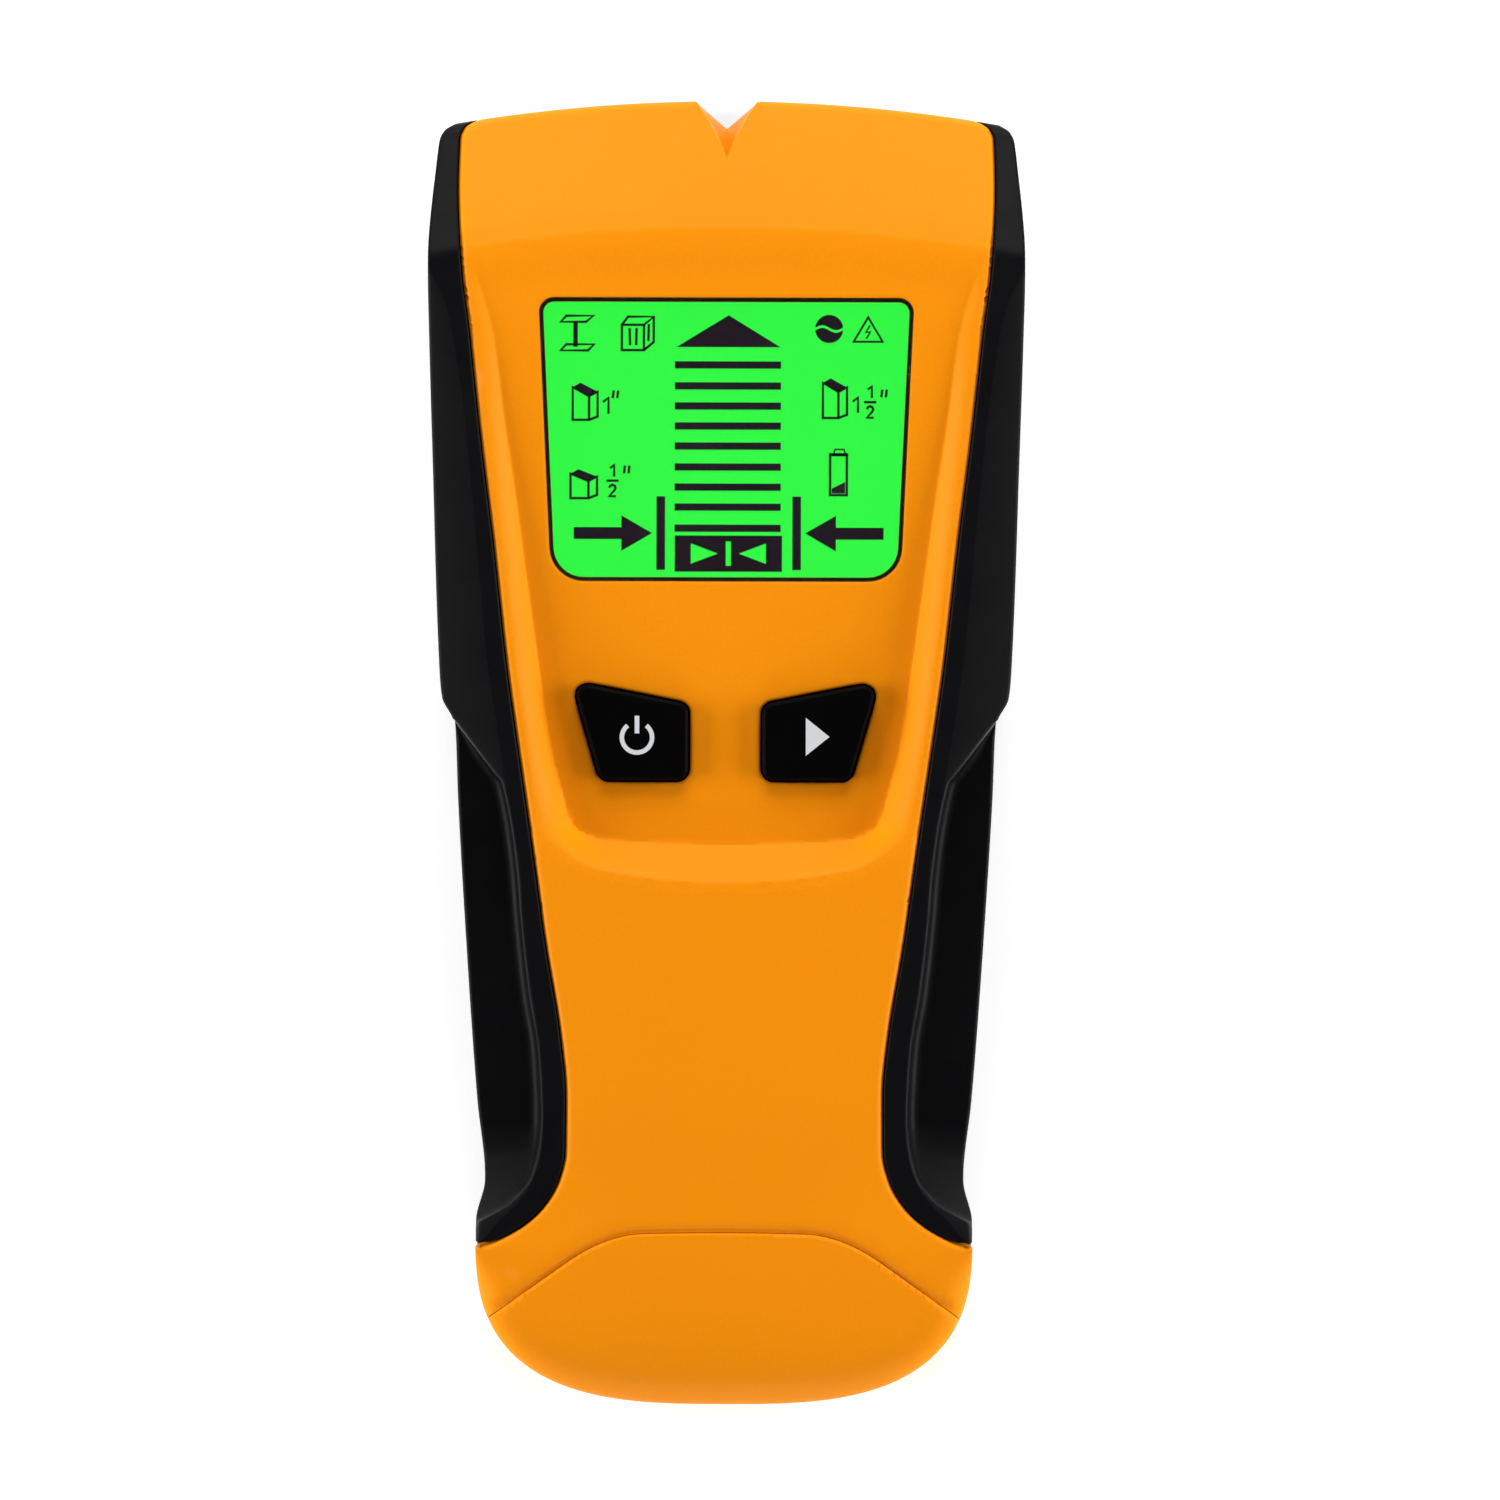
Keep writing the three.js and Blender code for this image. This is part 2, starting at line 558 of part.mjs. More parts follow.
// ---------------------------------------------------------------- sensor board and coil

const makeSensorBoard = () => solid(block([-22, 22, SENSOR_Z], [22, 73, SENSOR_Z + 1.4]));

const makeSensorPlate = (x) => solid(
  block([x - 6.4, 30, SENSOR_Z - GAP - 0.5], [x + 6.4, 71, SENSOR_Z - GAP]));

const makeSensorChip = () => solid(block([COIL.x - 4, COIL.y - 5, 6.1], [COIL.x + 4, COIL.y + 5, 7.6]));

// The spool: two flanges joined by a core, turned about its own axis.
function makeCoilBobbin() {
  const { inner, outer, height } = COIL;
  const core = inner + 1.2;
  const flange = 0.7;
  const profile = [
    [inner, 0], [outer, 0], [outer, flange], [core, flange], [core, height - flange],
    [outer, height - flange], [outer, height], [inner, height], [inner, 0],
  ].map(([r, z]) => new THREE.Vector2(r, z));
  const ring = new THREE.LatheGeometry(profile, 40).rotateX(Math.PI / 2);
  return solid(ring.translate(COIL.x, COIL.y, COIL.z));
}

function makeSearchCoil() {
  const { inner, outer, height } = COIL;
  const low = 0.7 + GAP;
  const high = height - 0.7 - GAP;
  const core = inner + 1.2 + GAP;
  const rim = outer - 0.5;
  const profile = [[core, low], [rim, low], [rim, high], [core, high], [core, low]]
    .map(([r, z]) => new THREE.Vector2(r, z));
  const ring = new THREE.LatheGeometry(profile, 40).rotateX(Math.PI / 2);
  return solid(ring.translate(COIL.x, COIL.y, COIL.z));
}

const makeBoardLink = () => solid(block([-10, 22.8, SENSOR_Z + 1.4 + GAP], [10, 25.4, BOARD_Z - GAP]));

const makeBuzzer = () => cut(
  solid(pin(0, 8, BACK + WALL + GAP, 8.6, 7.5, 32)), solid(pin(0, 8, 7.4, 20, 1.4)));

// ---------------------------------------------------------------- battery and its connector

function makeBatteryCase() {
  const { halfWidth, height, low, high, z } = BATTERY;
  const shape = roundedShape([
    [halfWidth, z, 1.6], [halfWidth, z + height, 1.6], [-halfWidth, z + height, 1.6], [-halfWidth, z, 1.6],
  ]);
  const options = { depth: high - low, bevelEnabled: false, curveSegments: 4 };
  const upright = new THREE.ExtrudeGeometry(shape, options);
  return solid(upright.rotateX(Math.PI / 2).translate(0, high, 0));
}

const TERMINAL_Z = BATTERY.z + BATTERY.height / 2;
const makeBatteryStud = () => solid(lyingPin(-TERMINAL_X, TERMINAL_Z, BATTERY.high + GAP, -22.6, 2.7));
const makeBatterySocket = () => solid(lyingPin(TERMINAL_X, TERMINAL_Z, BATTERY.high + GAP, -22.6, 3.9, 6));

const makeSnapPlate = () => solid(block([-12.4, -20.6, 6], [12.4, -18.9, 19]));

// The ring that clips over the battery's stud.
function makeSnapStudContact() {
  const ring = lyingPin(-TERMINAL_X, TERMINAL_Z, -24.6, -20.9, 4.2);
  return cut(solid(ring), solid(lyingPin(-TERMINAL_X, TERMINAL_Z, -30, -22.2, 3.1)));
}

// The button that the battery's petals close round sits clear above them.
const makeSnapSocketContact = () => solid(lyingPin(TERMINAL_X, TERMINAL_Z, -22.3, -20.9, 2.6));

// A lead held between the connector and the main board, along its real route.
function makeLead(route) {
  const path = new THREE.CatmullRomCurve3(route.map(([x, y, z]) => new THREE.Vector3(x, y, z)));
  const section = new THREE.Shape();
  section.absarc(0, 0, 0.65, 0, Math.PI * 2);
  const options = { steps: 20, extrudePath: path, bevelEnabled: false, curveSegments: 4 };
  return solid(new THREE.ExtrudeGeometry(section, options));
}

const makeBatteryFoam = () => solid(block([-10, -51, BATTERY.z + BATTERY.height + GAP], [10, -30, 25.2]));

// ---------------------------------------------------------------- fasteners, pads and label

// A pan-head screw driven upwards, with a plain slot across its head.
function makeScrew([x, y], headZ, headR, headHeight, shankR, tip) {
  const head = solid(pin(x, y, headZ, headZ + headHeight, headR, 16));
  const shank = solid(pin(x, y, headZ + 0.5, tip, shankR, 10));
  const slot = solid(block([x - headR - 1, y - 0.35, headZ - 1], [x + headR + 1, y + 0.35, headZ + 0.6]));
  return cut(joined(head, shank), slot);
}

const makeCaseScrew = (place) => makeScrew(place, 4.9, 2.4, 1.6, SCREW_R - 0.05, 16.5);
const makeBoardScrew = (place) => makeScrew(place, BOARD_Z - GAP - 1.3, 1.8, 1.3, BOARD_SCREW_R, 20.8);

function makeGlidePad(x, y) {
  const half = 7;
  const shape = roundedShape([
    [x + half, y - 3, 2.9], [x + half, y + 3, 2.9], [x - half, y + 3, 2.9], [x - half, y - 3, 2.9],
  ]);
  return solid(plate(shape, 0, PAD_TOP));
}

function makeRearLabel() {
  const shape = roundedShape([[14, -45, 1.5], [14, -23, 1.5], [-14, -23, 1.5], [-14, -45, 1.5]]);
  return solid(plate(shape, 0.25, PAD_TOP));
}

// ---------------------------------------------------------------- assembly

const material = (color, roughness, metalness = 0) =>
  new THREE.MeshStandardMaterial({ color, roughness, metalness });

const finishes = {
  orange: () => material(0xee8b12, 0.45),
  black: () => material(0x0b0b0c, 0.55),
  rubber: () => material(0x1d1c20, 0.8),
  glass: () => material(0x37fa4a, 0.1),
  board: () => material(0x0f5a2c, 0.6),
  chip: () => material(0x17171a, 0.5),
  metal: () => material(0xb9bcc0, 0.3, 0.9),
  copper: () => material(0xb87333, 0.35, 0.9),
  white: () => material(0xe8e8e4, 0.6),
  red: () => material(0xb01818, 0.55),
  felt: () => material(0x8d8d90, 0.95),
};

const group = new THREE.Group();

function addPiece(name, made, finish) {
  const mesh = new THREE.Mesh(geometryOf(made), finish());
  mesh.name = name;
  group.add(mesh);
}

addPiece("front_shell", makeFrontShell(), finishes.orange);
addPiece("rear_shell", makeRearShell(), finishes.black);
addPiece("battery_cap", makeBatteryCap(), finishes.orange);
addPiece("grip_left", makeGrip(-1), finishes.rubber);
addPiece("grip_right", makeGrip(1), finishes.rubber);

addPiece("display_window", makeWindow(), finishes.glass);
addPiece("lcd_panel", makeLcdPanel(), finishes.glass);
addPiece("lcd_frame", makeLcdFrame(), finishes.black);
addPiece("backlight_plate", makeBacklightPlate(), finishes.white);
addPiece("backlight_led_left", makeBacklightLed(-1), finishes.white);
addPiece("backlight_led_right", makeBacklightLed(1), finishes.white);
addPiece("lcd_connector_upper", makeLcdConnector(LCD.top - 1.5), finishes.chip);
addPiece("lcd_connector_lower", makeLcdConnector(LCD.bottom + 1.5), finishes.chip);

[["power", -1], ["mode", 1]].forEach(([name, side]) => {
  addPiece(`${name}_button`, makeKey(side), finishes.black);
  addPiece(`${name}_switch_body`, makeSwitchBody(side), finishes.chip);
  addPiece(`${name}_switch_plunger`, makeSwitchPlunger(side), finishes.white);
});

addPiece("main_board", makeMainBoard(), finishes.board);
addPiece("controller_chip", makeControllerChip(), finishes.chip);
addPiece("crystal", makeCrystal(), finishes.metal);
addPiece("capacitor", makeCapacitor(), finishes.chip);
addPiece("trimmer", makeTrimmer(), finishes.white);

addPiece("sensor_board", makeSensorBoard(), finishes.board);
addPiece("sensor_plate_left", makeSensorPlate(-14.4), finishes.copper);
addPiece("sensor_plate_centre", makeSensorPlate(0), finishes.copper);
addPiece("sensor_plate_right", makeSensorPlate(14.4), finishes.copper);
addPiece("sensor_chip", makeSensorChip(), finishes.chip);
addPiece("coil_bobbin", makeCoilBobbin(), finishes.white);
addPiece("search_coil", makeSearchCoil(), finishes.copper);
addPiece("board_link", makeBoardLink(), finishes.chip);
addPiece("buzzer", makeBuzzer(), finishes.chip);

addPiece("battery_case", makeBatteryCase(), finishes.metal);
addPiece("battery_stud", makeBatteryStud(), finishes.metal);
addPiece("battery_socket", makeBatterySocket(), finishes.metal);
addPiece("snap_plate", makeSnapPlate(), finishes.chip);
addPiece("snap_stud_contact", makeSnapStudContact(), finishes.metal);
addPiece("snap_socket_contact", makeSnapSocketContact(), finishes.metal);
addPiece("battery_foam", makeBatteryFoam(), finishes.felt);

const LEAD_TOP = BOARD_Z - 2 * GAP;
const leadRoute = (side) => [
  [side * 8, -18.6, 16], [side * 8.6, -14.6, 15.8], [side * 8.4, -11.5, 13.8], [side * 8, -9.4, LEAD_TOP],
];
addPiece("red_lead", makeLead(leadRoute(1)), finishes.red);
addPiece("black_lead", makeLead(leadRoute(-1)), finishes.chip);

CASE_SCREWS.forEach((place, i) => addPiece(`case_screw_${i + 1}`, makeCaseScrew(place), finishes.metal));
BOARD_SCREWS.forEach((place, i) => addPiece(`board_screw_${i + 1}`, makeBoardScrew(place), finishes.metal));

[[-24, 56], [24, 56], [-19, -50], [19, -50]].forEach(([x, y], i) => {
  addPiece(`glide_pad_${i + 1}`, makeGlidePad(x, y), finishes.felt);
});
addPiece("rear_label", makeRearLabel(), finishes.white);

export default group;
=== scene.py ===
"""Visual model of a hand-held stud finder, lying on its back on a pale floor.

Shapes are worked out in millimetres in the CAD frame, and become metres when a piece is made:
+Z out of the display face, +Y towards the marking notch, +X to the right.
"""

import math

import bmesh
import bpy
import numpy as np
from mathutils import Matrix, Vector, kdtree
from mathutils.geometry import delaunay_2d_cdt


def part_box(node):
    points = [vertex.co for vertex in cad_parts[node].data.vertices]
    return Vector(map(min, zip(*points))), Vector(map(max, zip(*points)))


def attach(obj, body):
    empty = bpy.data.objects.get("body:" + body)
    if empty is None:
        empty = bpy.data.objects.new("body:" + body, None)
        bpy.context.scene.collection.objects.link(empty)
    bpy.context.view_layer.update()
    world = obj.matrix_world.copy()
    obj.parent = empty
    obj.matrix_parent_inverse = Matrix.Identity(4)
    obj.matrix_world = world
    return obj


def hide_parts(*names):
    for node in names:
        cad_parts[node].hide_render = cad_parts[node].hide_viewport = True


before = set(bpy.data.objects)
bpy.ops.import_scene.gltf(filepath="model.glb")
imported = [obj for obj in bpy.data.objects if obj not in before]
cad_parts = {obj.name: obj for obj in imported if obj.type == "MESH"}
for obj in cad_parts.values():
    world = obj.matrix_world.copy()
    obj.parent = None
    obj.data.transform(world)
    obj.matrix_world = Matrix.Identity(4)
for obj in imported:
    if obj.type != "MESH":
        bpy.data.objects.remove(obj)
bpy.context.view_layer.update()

MM = 0.001

# ---- driving dimensions

HALF_LENGTH = 79.95
BACK = 0.8  # back face of the rear shell
REAR_RIM = 13.1  # top rim of the rear shell
FRONT_RIM = 13.3  # lower rim of the front shell and the grips
WALL = 2.2
CAP_WALL = 2.0
BACK_ROUND = 2.0  # round of the lower edge

END_BOW = 2.6  # how far the notch end falls back at its corners
END_BOW_AT = 32.0
END_BOW_ROWS = (50, 63)  # the bow grows between these rows
ROUND_START = -60.0  # the round end starts here
ROUND_HALF_WIDTH = 30.4
FACE_ROUND_START = -60.6  # the face takes up the whole width of the round end from here
END_POWER = 2.6
SIDE_POWER = 3.0

CREASE = 64.3
CREASE_Z = 25.2
NOSE_SLOPE = 0.44
CREASE_SOFTNESS = 0.22
CROWN = 0.9  # the handle stands this much higher on its centreline
CROWN_FADE = (0, 40)  # and the crown fades out between these rows
RECESS_FLOOR = 25.0
RECESS_TOP = 58.0  # the recess floor starts to rise to the crease here
RECESS_END = -11.4  # the recess floor ends here on the centreline, and a wall rises to the handle
RECESS_RIDGE = -16.0  # top of that wall
RECESS_ARCH = 16.5  # half width over which that wall arches towards the display

NOTCH_HALF_WIDTH = 3.8
NOTCH_DEPTH = 3.3  # from the notch end, where it is cut right through
NOTCH_FACE_DEPTH = 7.1  # the same on the face, where its flanks run out
NOTCH_LEAN_START = 14.0  # height where the groove starts to lean back

# the window's corners, counter-clockwise, each with its radius
WINDOW = [(21.4, 20.9, 4.2), (23, 55.6, 1.8), (-23, 55.6, 1.8), (-21.4, 20.9, 4.2)]
WINDOW_BACK = 23.9
WINDOW_FRONT = 24.93
KEY = [(4.55, -3.45), (15.3, -3.45), (18.8, 8.6), (4.55, 5.8)]  # corners of the right key
KEY_ROUND = 1.4
KEY_TOP = 26.5
KEY_BOTTOM = 22.2

SEAM_MIDDLE = -58.75  # the seam between the case and the battery cap, on the centreline
SEAM_KINK_X = 14.5
SEAM_KINK = -59.05
SEAM_SLOPE = 0.714  # fall of the seam outside its kinks
SEAM_BEND = 3.2  # softness of the kinks
SEAM_HALF_GAP = 0.05
TONGUE = 1.1  # how far the case reaches under the edge of the cap
TONGUE_TOP = 0.25  # below the seam's edge
TONGUE_BOTTOM = 1.35

CASE_SCREWS = [(-27, 68.5), (27, 68.5), (-17, -17.8), (17, -17.8)]
PADS = [(-24, 56), (24, 56), (-19, -50), (19, -50)]

# ---- curves


def pairs(x, y):
    return np.column_stack([x, y])


def ease(value, a, b):
    """0 before a, 1 after b, with a soft start and end."""
    t = np.clip((value - a) / (b - a), 0, 1)
    return t * t * (3 - 2 * t)


def soft_min(a, b, k):
    """The lower of a and b, rounded where they are within k of each other."""
    k = np.maximum(k, 1e-6)
    near = np.maximum(k - np.abs(a - b), 0) / k
    return np.minimum(a, b) - near * near * k / 4


def soft_max(a, b, k):
    return -soft_min(-a, -b, k)


def through(*stations):
    """A smooth curve through (position, value) stations, which never overshoots them."""
    at, value = (np.array(column, float) for column in zip(*stations))
    step = np.diff(value) / np.diff(at)
    before, after = step[:-1], step[1:]
    both = np.where(before * after > 0, before + after, 1)
    inner = np.where(before * after > 0, 2 * before * after / both, 0)
    tangent = np.concatenate([step[:1], inner, step[-1:]])

    def curve(position):
        position = np.clip(position, at[0], at[-1])
        i = np.clip(np.searchsorted(at, position, side="right") - 1, 0, len(step) - 1)
        width = at[i + 1] - at[i]
        t = (position - at[i]) / width
        rise = t * t * (3 - 2 * t)
        bend = t * (1 - t) ** 2 * tangent[i] + t * t * (t - 1) * tangent[i + 1]
        return value[i] + (value[i + 1] - value[i]) * rise + bend * width

    return curve


side_curve = through(
    (-60, 30.4), (-57.4, 30.4), (-52.5, 29.4), (-42.7, 30.4), (-25.5, 31.7), (-5.9, 32.9), (3.6, 33.3),
    (6.6, 34.7), (9.5, 35.0), (31, 35.8), (63.5, 36.6), (76, 35.6), (78.2, 35.3), (79.3, 34.7),
    (80, 33.3),
)
face_curve = through(
    (-60.6, 30.4), (-59.9, 28.1), (-57.4, 23.8), (-55, 21.55), (-52.5, 20.2), (-49, 19.4), (-42, 19.35),
    (-35.3, 19.95), (-23, 21.95), (-13.3, 23.3), (1.5, 25.45), (10, 26.65), (26, 28.45), (38, 29.95),
    (50.5, 31.3), (64, 32.55), (72, 32.9), (78, 32.75), (79.2, 32.2), (79.7, 31.3), (80, 29.9),
)
floor_curve = through(
    (-11.5, 17.8), (-7, 19.5), (1.5, 21.5), (10, 22.8), (20, 24.2), (31, 25.7), (41, 27.2), (50, 28.3),
    (62, 30.9),
)
ridge_curve = through(
    (-60, 30.2), (-57.7, 30.0), (-57, 29.0), (-56, 27.2), (-55, 25.8), (-54, 24.9), (-52.5, 23.7),
    (-50, 22.9), (-48, 22.5), (-44.8, 22.3), (-36.6, 22.7), (-30, 23.8), (-20, 24.9), (-15, 25.3),
    (-3.8, 27.2), (-2.8, 28), (3.9, 33.1),
)
band_curve = through(
    (-60, 1.4), (-57, 3.6), (-54, 3.2), (-50, 2.9), (-40, 2.6), (-30, 2.5), (-20, 2.1), (-14, 1.7),
    (-4, 2.0), (10, 2.2), (24, 2.0), (40, 1.6), (56.7, 2.4), (62, 3.6), (65, 4.4),
)
top_curve = through(
    (-80, 23.4), (-77, 24.9), (-72, 26.2), (-66, 26.9), (-58, 27.4), (-40, 28.2), (-15, 28.4), (0, 28.2),
    (20, 27.5), (45, 26.3), (65, 25.25),
)


def round_end(v):
    t = np.clip((ROUND_START - v) / (HALF_LENGTH + ROUND_START), 0, 1)
    return ROUND_HALF_WIDTH * np.maximum(0.02, 1 - t**END_POWER) ** (1 / SIDE_POWER)


def body_half(v):
    return np.where(v < ROUND_START, round_end(v), side_curve(v))


def face_half(v):
    return np.where(v < FACE_ROUND_START, round_end(v), np.minimum(face_curve(v), body_half(v)))


def bow(x, v):
    return END_BOW * (x / END_BOW_AT) ** 2 * ease(v, *END_BOW_ROWS)


def row_of(x, y):
    """The row that passes through a point: rows bow back near the notch end."""
    v = np.array(y, float)
    for _ in range(8):
        v = y + bow(x, v)
    return v


def edge_height(v):
    """Height of the face along its side edges."""
    return soft_min(top_curve(v), CREASE_Z - NOSE_SLOPE * (v - CREASE), CREASE_SOFTNESS)


def seam_y(x):
    across = np.abs(x)
    middle = SEAM_MIDDLE + (SEAM_KINK - SEAM_MIDDLE) * (across / SEAM_KINK_X) ** 2
    return soft_min(middle, SEAM_KINK - SEAM_SLOPE * (across - SEAM_KINK_X), SEAM_BEND)


# ---- lines in plan


def thin_out(points, longest=1.2, turn=math.radians(7)):
    """Thins a dense line: its points stay close where it turns, and no more than longest apart."""
    points = np.asarray(points, float)
    steps = np.diff(points, axis=0)
    heading = np.unwrap(np.arctan2(steps[:, 1], steps[:, 0]))
    kept, length = [0], 0.0
    for i in range(1, len(points) - 1):
        length += math.hypot(*steps[i - 1])
        turned = abs(heading[i] - heading[kept[-1]])
        if length > longest or (turned > turn and length > 0.12):
            kept.append(i)
            length = 0.0
    if length < 0.1 and len(kept) > 1:
        kept.pop()
    kept.append(len(points) - 1)
    return points[kept]


def right_edge(half_width, start):
    """The right half of an outline as a dense line, from the round end's middle to the notch."""
    angle = np.linspace(math.pi / 2, 0, 3000)
    x = ROUND_HALF_WIDTH * np.cos(angle) ** (2 / SIDE_POWER)
    y = ROUND_START - (HALF_LENGTH + ROUND_START) * np.sin(angle) ** (2 / END_POWER)
    end = pairs(x, y)[y < start]
    rows = np.arange(start, HALF_LENGTH, 0.02)
    x = half_width(rows)
    side = pairs(x, rows - bow(x, rows))
    x = np.linspace(float(half_width(HALF_LENGTH)), NOTCH_HALF_WIDTH, 1200)
    nose = pairs(x, HALF_LENGTH - bow(x, HALF_LENGTH))
    return np.vstack([end, side, nose])


def crossing(line, shift):
    """Where a dense line from the round end first passes the seam, and the index after it."""
    beyond = line[:, 1] - seam_y(line[:, 0]) - shift
    i = int(np.argmax(beyond > 0))
    t = beyond[i - 1] / (beyond[i - 1] - beyond[i])
    return line[i - 1] + (line[i] - line[i - 1]) * t, i


def mirrored(line):
    """The same line on the left, in the opposite order."""
    return np.asarray(line)[::-1] * [-1, 1]


def closed_by_seam(side, shift, count=64):
    """A side outline closed by the seam's points, from its last point back to its first."""
    x = np.linspace(side[-1][0], side[0][0], count + 2)[1:-1]
    return np.vstack([side, pairs(x, seam_y(x) + shift)])


def notch_side():
    """The right flank of the notch where it is cut right through, from its mouth inwards."""
    t = np.array([0.12, 0.3, 0.5, 0.75])
    top = HALF_LENGTH - bow(NOTCH_HALF_WIDTH, HALF_LENGTH)
    apex = HALF_LENGTH - NOTCH_DEPTH
    return pairs(NOTCH_HALF_WIDTH * (1 - t), top + (apex - top) * t)


def case_side(half_width, start):
    """Outline of the case on the notch's side of the seam, from the seam's right end to its left."""
    dense = right_edge(half_width, start)
    corner, i = crossing(dense, SEAM_HALF_GAP)
    right = thin_out(np.vstack([corner, dense[i:]]))
    right = np.vstack([right, notch_side()])
    apex = [[0, HALF_LENGTH - NOTCH_DEPTH]]
    return np.vstack([right, apex, mirrored(right)])


def cap_side():
    """Outline of the battery cap outside the seam, from the seam's left end to its right."""
    dense = right_edge(face_half, FACE_ROUND_START)
    corner, i = crossing(dense, -SEAM_HALF_GAP)
    right = thin_out(np.vstack([dense[:i], corner]))
    return np.vstack([mirrored(right[1:]), right])


def normals(line, closed=False):
    """Unit normals to the left of a line, lengthened at its corners so that offsets stay parallel."""
    line = np.asarray(line, float)
    if closed:
        before, after = line - np.roll(line, 1, 0), np.roll(line, -1, 0) - line
    else:
        steps = np.diff(line, axis=0)
        before, after = np.vstack([steps[:1], steps]), np.vstack([steps, steps[-1:]])
    before = before / np.linalg.norm(before, axis=1)[:, None]
    after = after / np.linalg.norm(after, axis=1)[:, None]
    mean = before + after
    mean = mean / np.linalg.norm(mean, axis=1)[:, None]
    widen = 1 / np.maximum(0.6, (mean * before).sum(1))
    return pairs(-mean[:, 1], mean[:, 0]) * widen[:, None]


def rounded(corners):
    """A closed outline with a round at each corner; corners are (x, y, radius), counter-clockwise."""
    points = []
    for i, (x, y, radius) in enumerate(corners):
        here = Vector((x, y))
        before = (Vector(corners[i - 1][:2]) - here).normalized()
        after = (Vector(corners[(i + 1) % len(corners)][:2]) - here).normalized()
        half = before.angle(after) / 2
        centre = here + (before + after).normalized() * (radius / math.sin(half))
        out = before.orthogonal()
        if out.dot(after) > 0:
            out = -out
        first = math.atan2(out.y, out.x)
        turn = math.pi - 2 * half
        for k in range(9):
            angle = first + turn * k / 8
            points.append((centre.x + radius * math.cos(angle), centre.y + radius * math.sin(angle)))
    return spaced(points)


def spaced(points, longest=1.4):
    """A closed outline with points added along its long straight edges."""
    made = []
    for i, point in enumerate(points):
        after = points[(i + 1) % len(points)]
        count = max(1, math.ceil(math.dist(point, after) / longest))
        run, rise = after[0] - point[0], after[1] - point[1]
        made += [(point[0] + run * k / count, point[1] + rise * k / count) for k in range(count)]
    return np.array(made)


def box_line(x0, y0, x1, y1, radius):
    """A closed rectangle with rounded corners."""
    return rounded([(*corner, radius) for corner in ((x1, y0), (x1, y1), (x0, y1), (x0, y0))])


def window_line(grow):
    return offset_loop(rounded(WINDOW), grow)


def key_line(side, grow):
    line = offset_loop(rounded([(*corner, KEY_ROUND) for corner in KEY]), grow)
    return line if side > 0 else mirrored(line)


def offset_loop(line, grow):
    return line - normals(line, closed=True) * grow


def circle(x, y, radius, count=28):
    angle = np.arange(count) * 2 * math.pi / count
    return pairs(x + radius * np.cos(angle), y + radius * np.sin(angle))


def distance(points, line):
    """Distance from each point to the nearest part of a line."""
    a, b = line[:-1], line[1:]
    along = b - a
    size = np.maximum((along**2).sum(1), 1e-12)
    found = []
    for chunk in np.array_split(points, max(1, len(points) // 400)):
        t = np.clip(((chunk[:, None] - a) * along).sum(2) / size, 0, 1)
        nearest = a + t[..., None] * along
        found.append(np.sqrt(((chunk[:, None] - nearest) ** 2).sum(2).min(1)))
    return np.concatenate(found)


def inside(points, loop):
    """True for each point that lies within a closed outline."""
    x, y = points[:, 0], points[:, 1]
    hit = np.zeros(len(points), bool)
    for (x0, y0), (x1, y1) in zip(loop, np.roll(loop, -1, 0)):
        if y0 != y1:
            crosses = (y0 > y) != (y1 > y)
            hit ^= crosses & (x < (x1 - x0) * (y - y0) / (y1 - y0) + x0)
    return hit


# ---- putting pieces together


EVEN_BORDER = 0.12  # inside this a flat sheet's shading no longer feels its edge


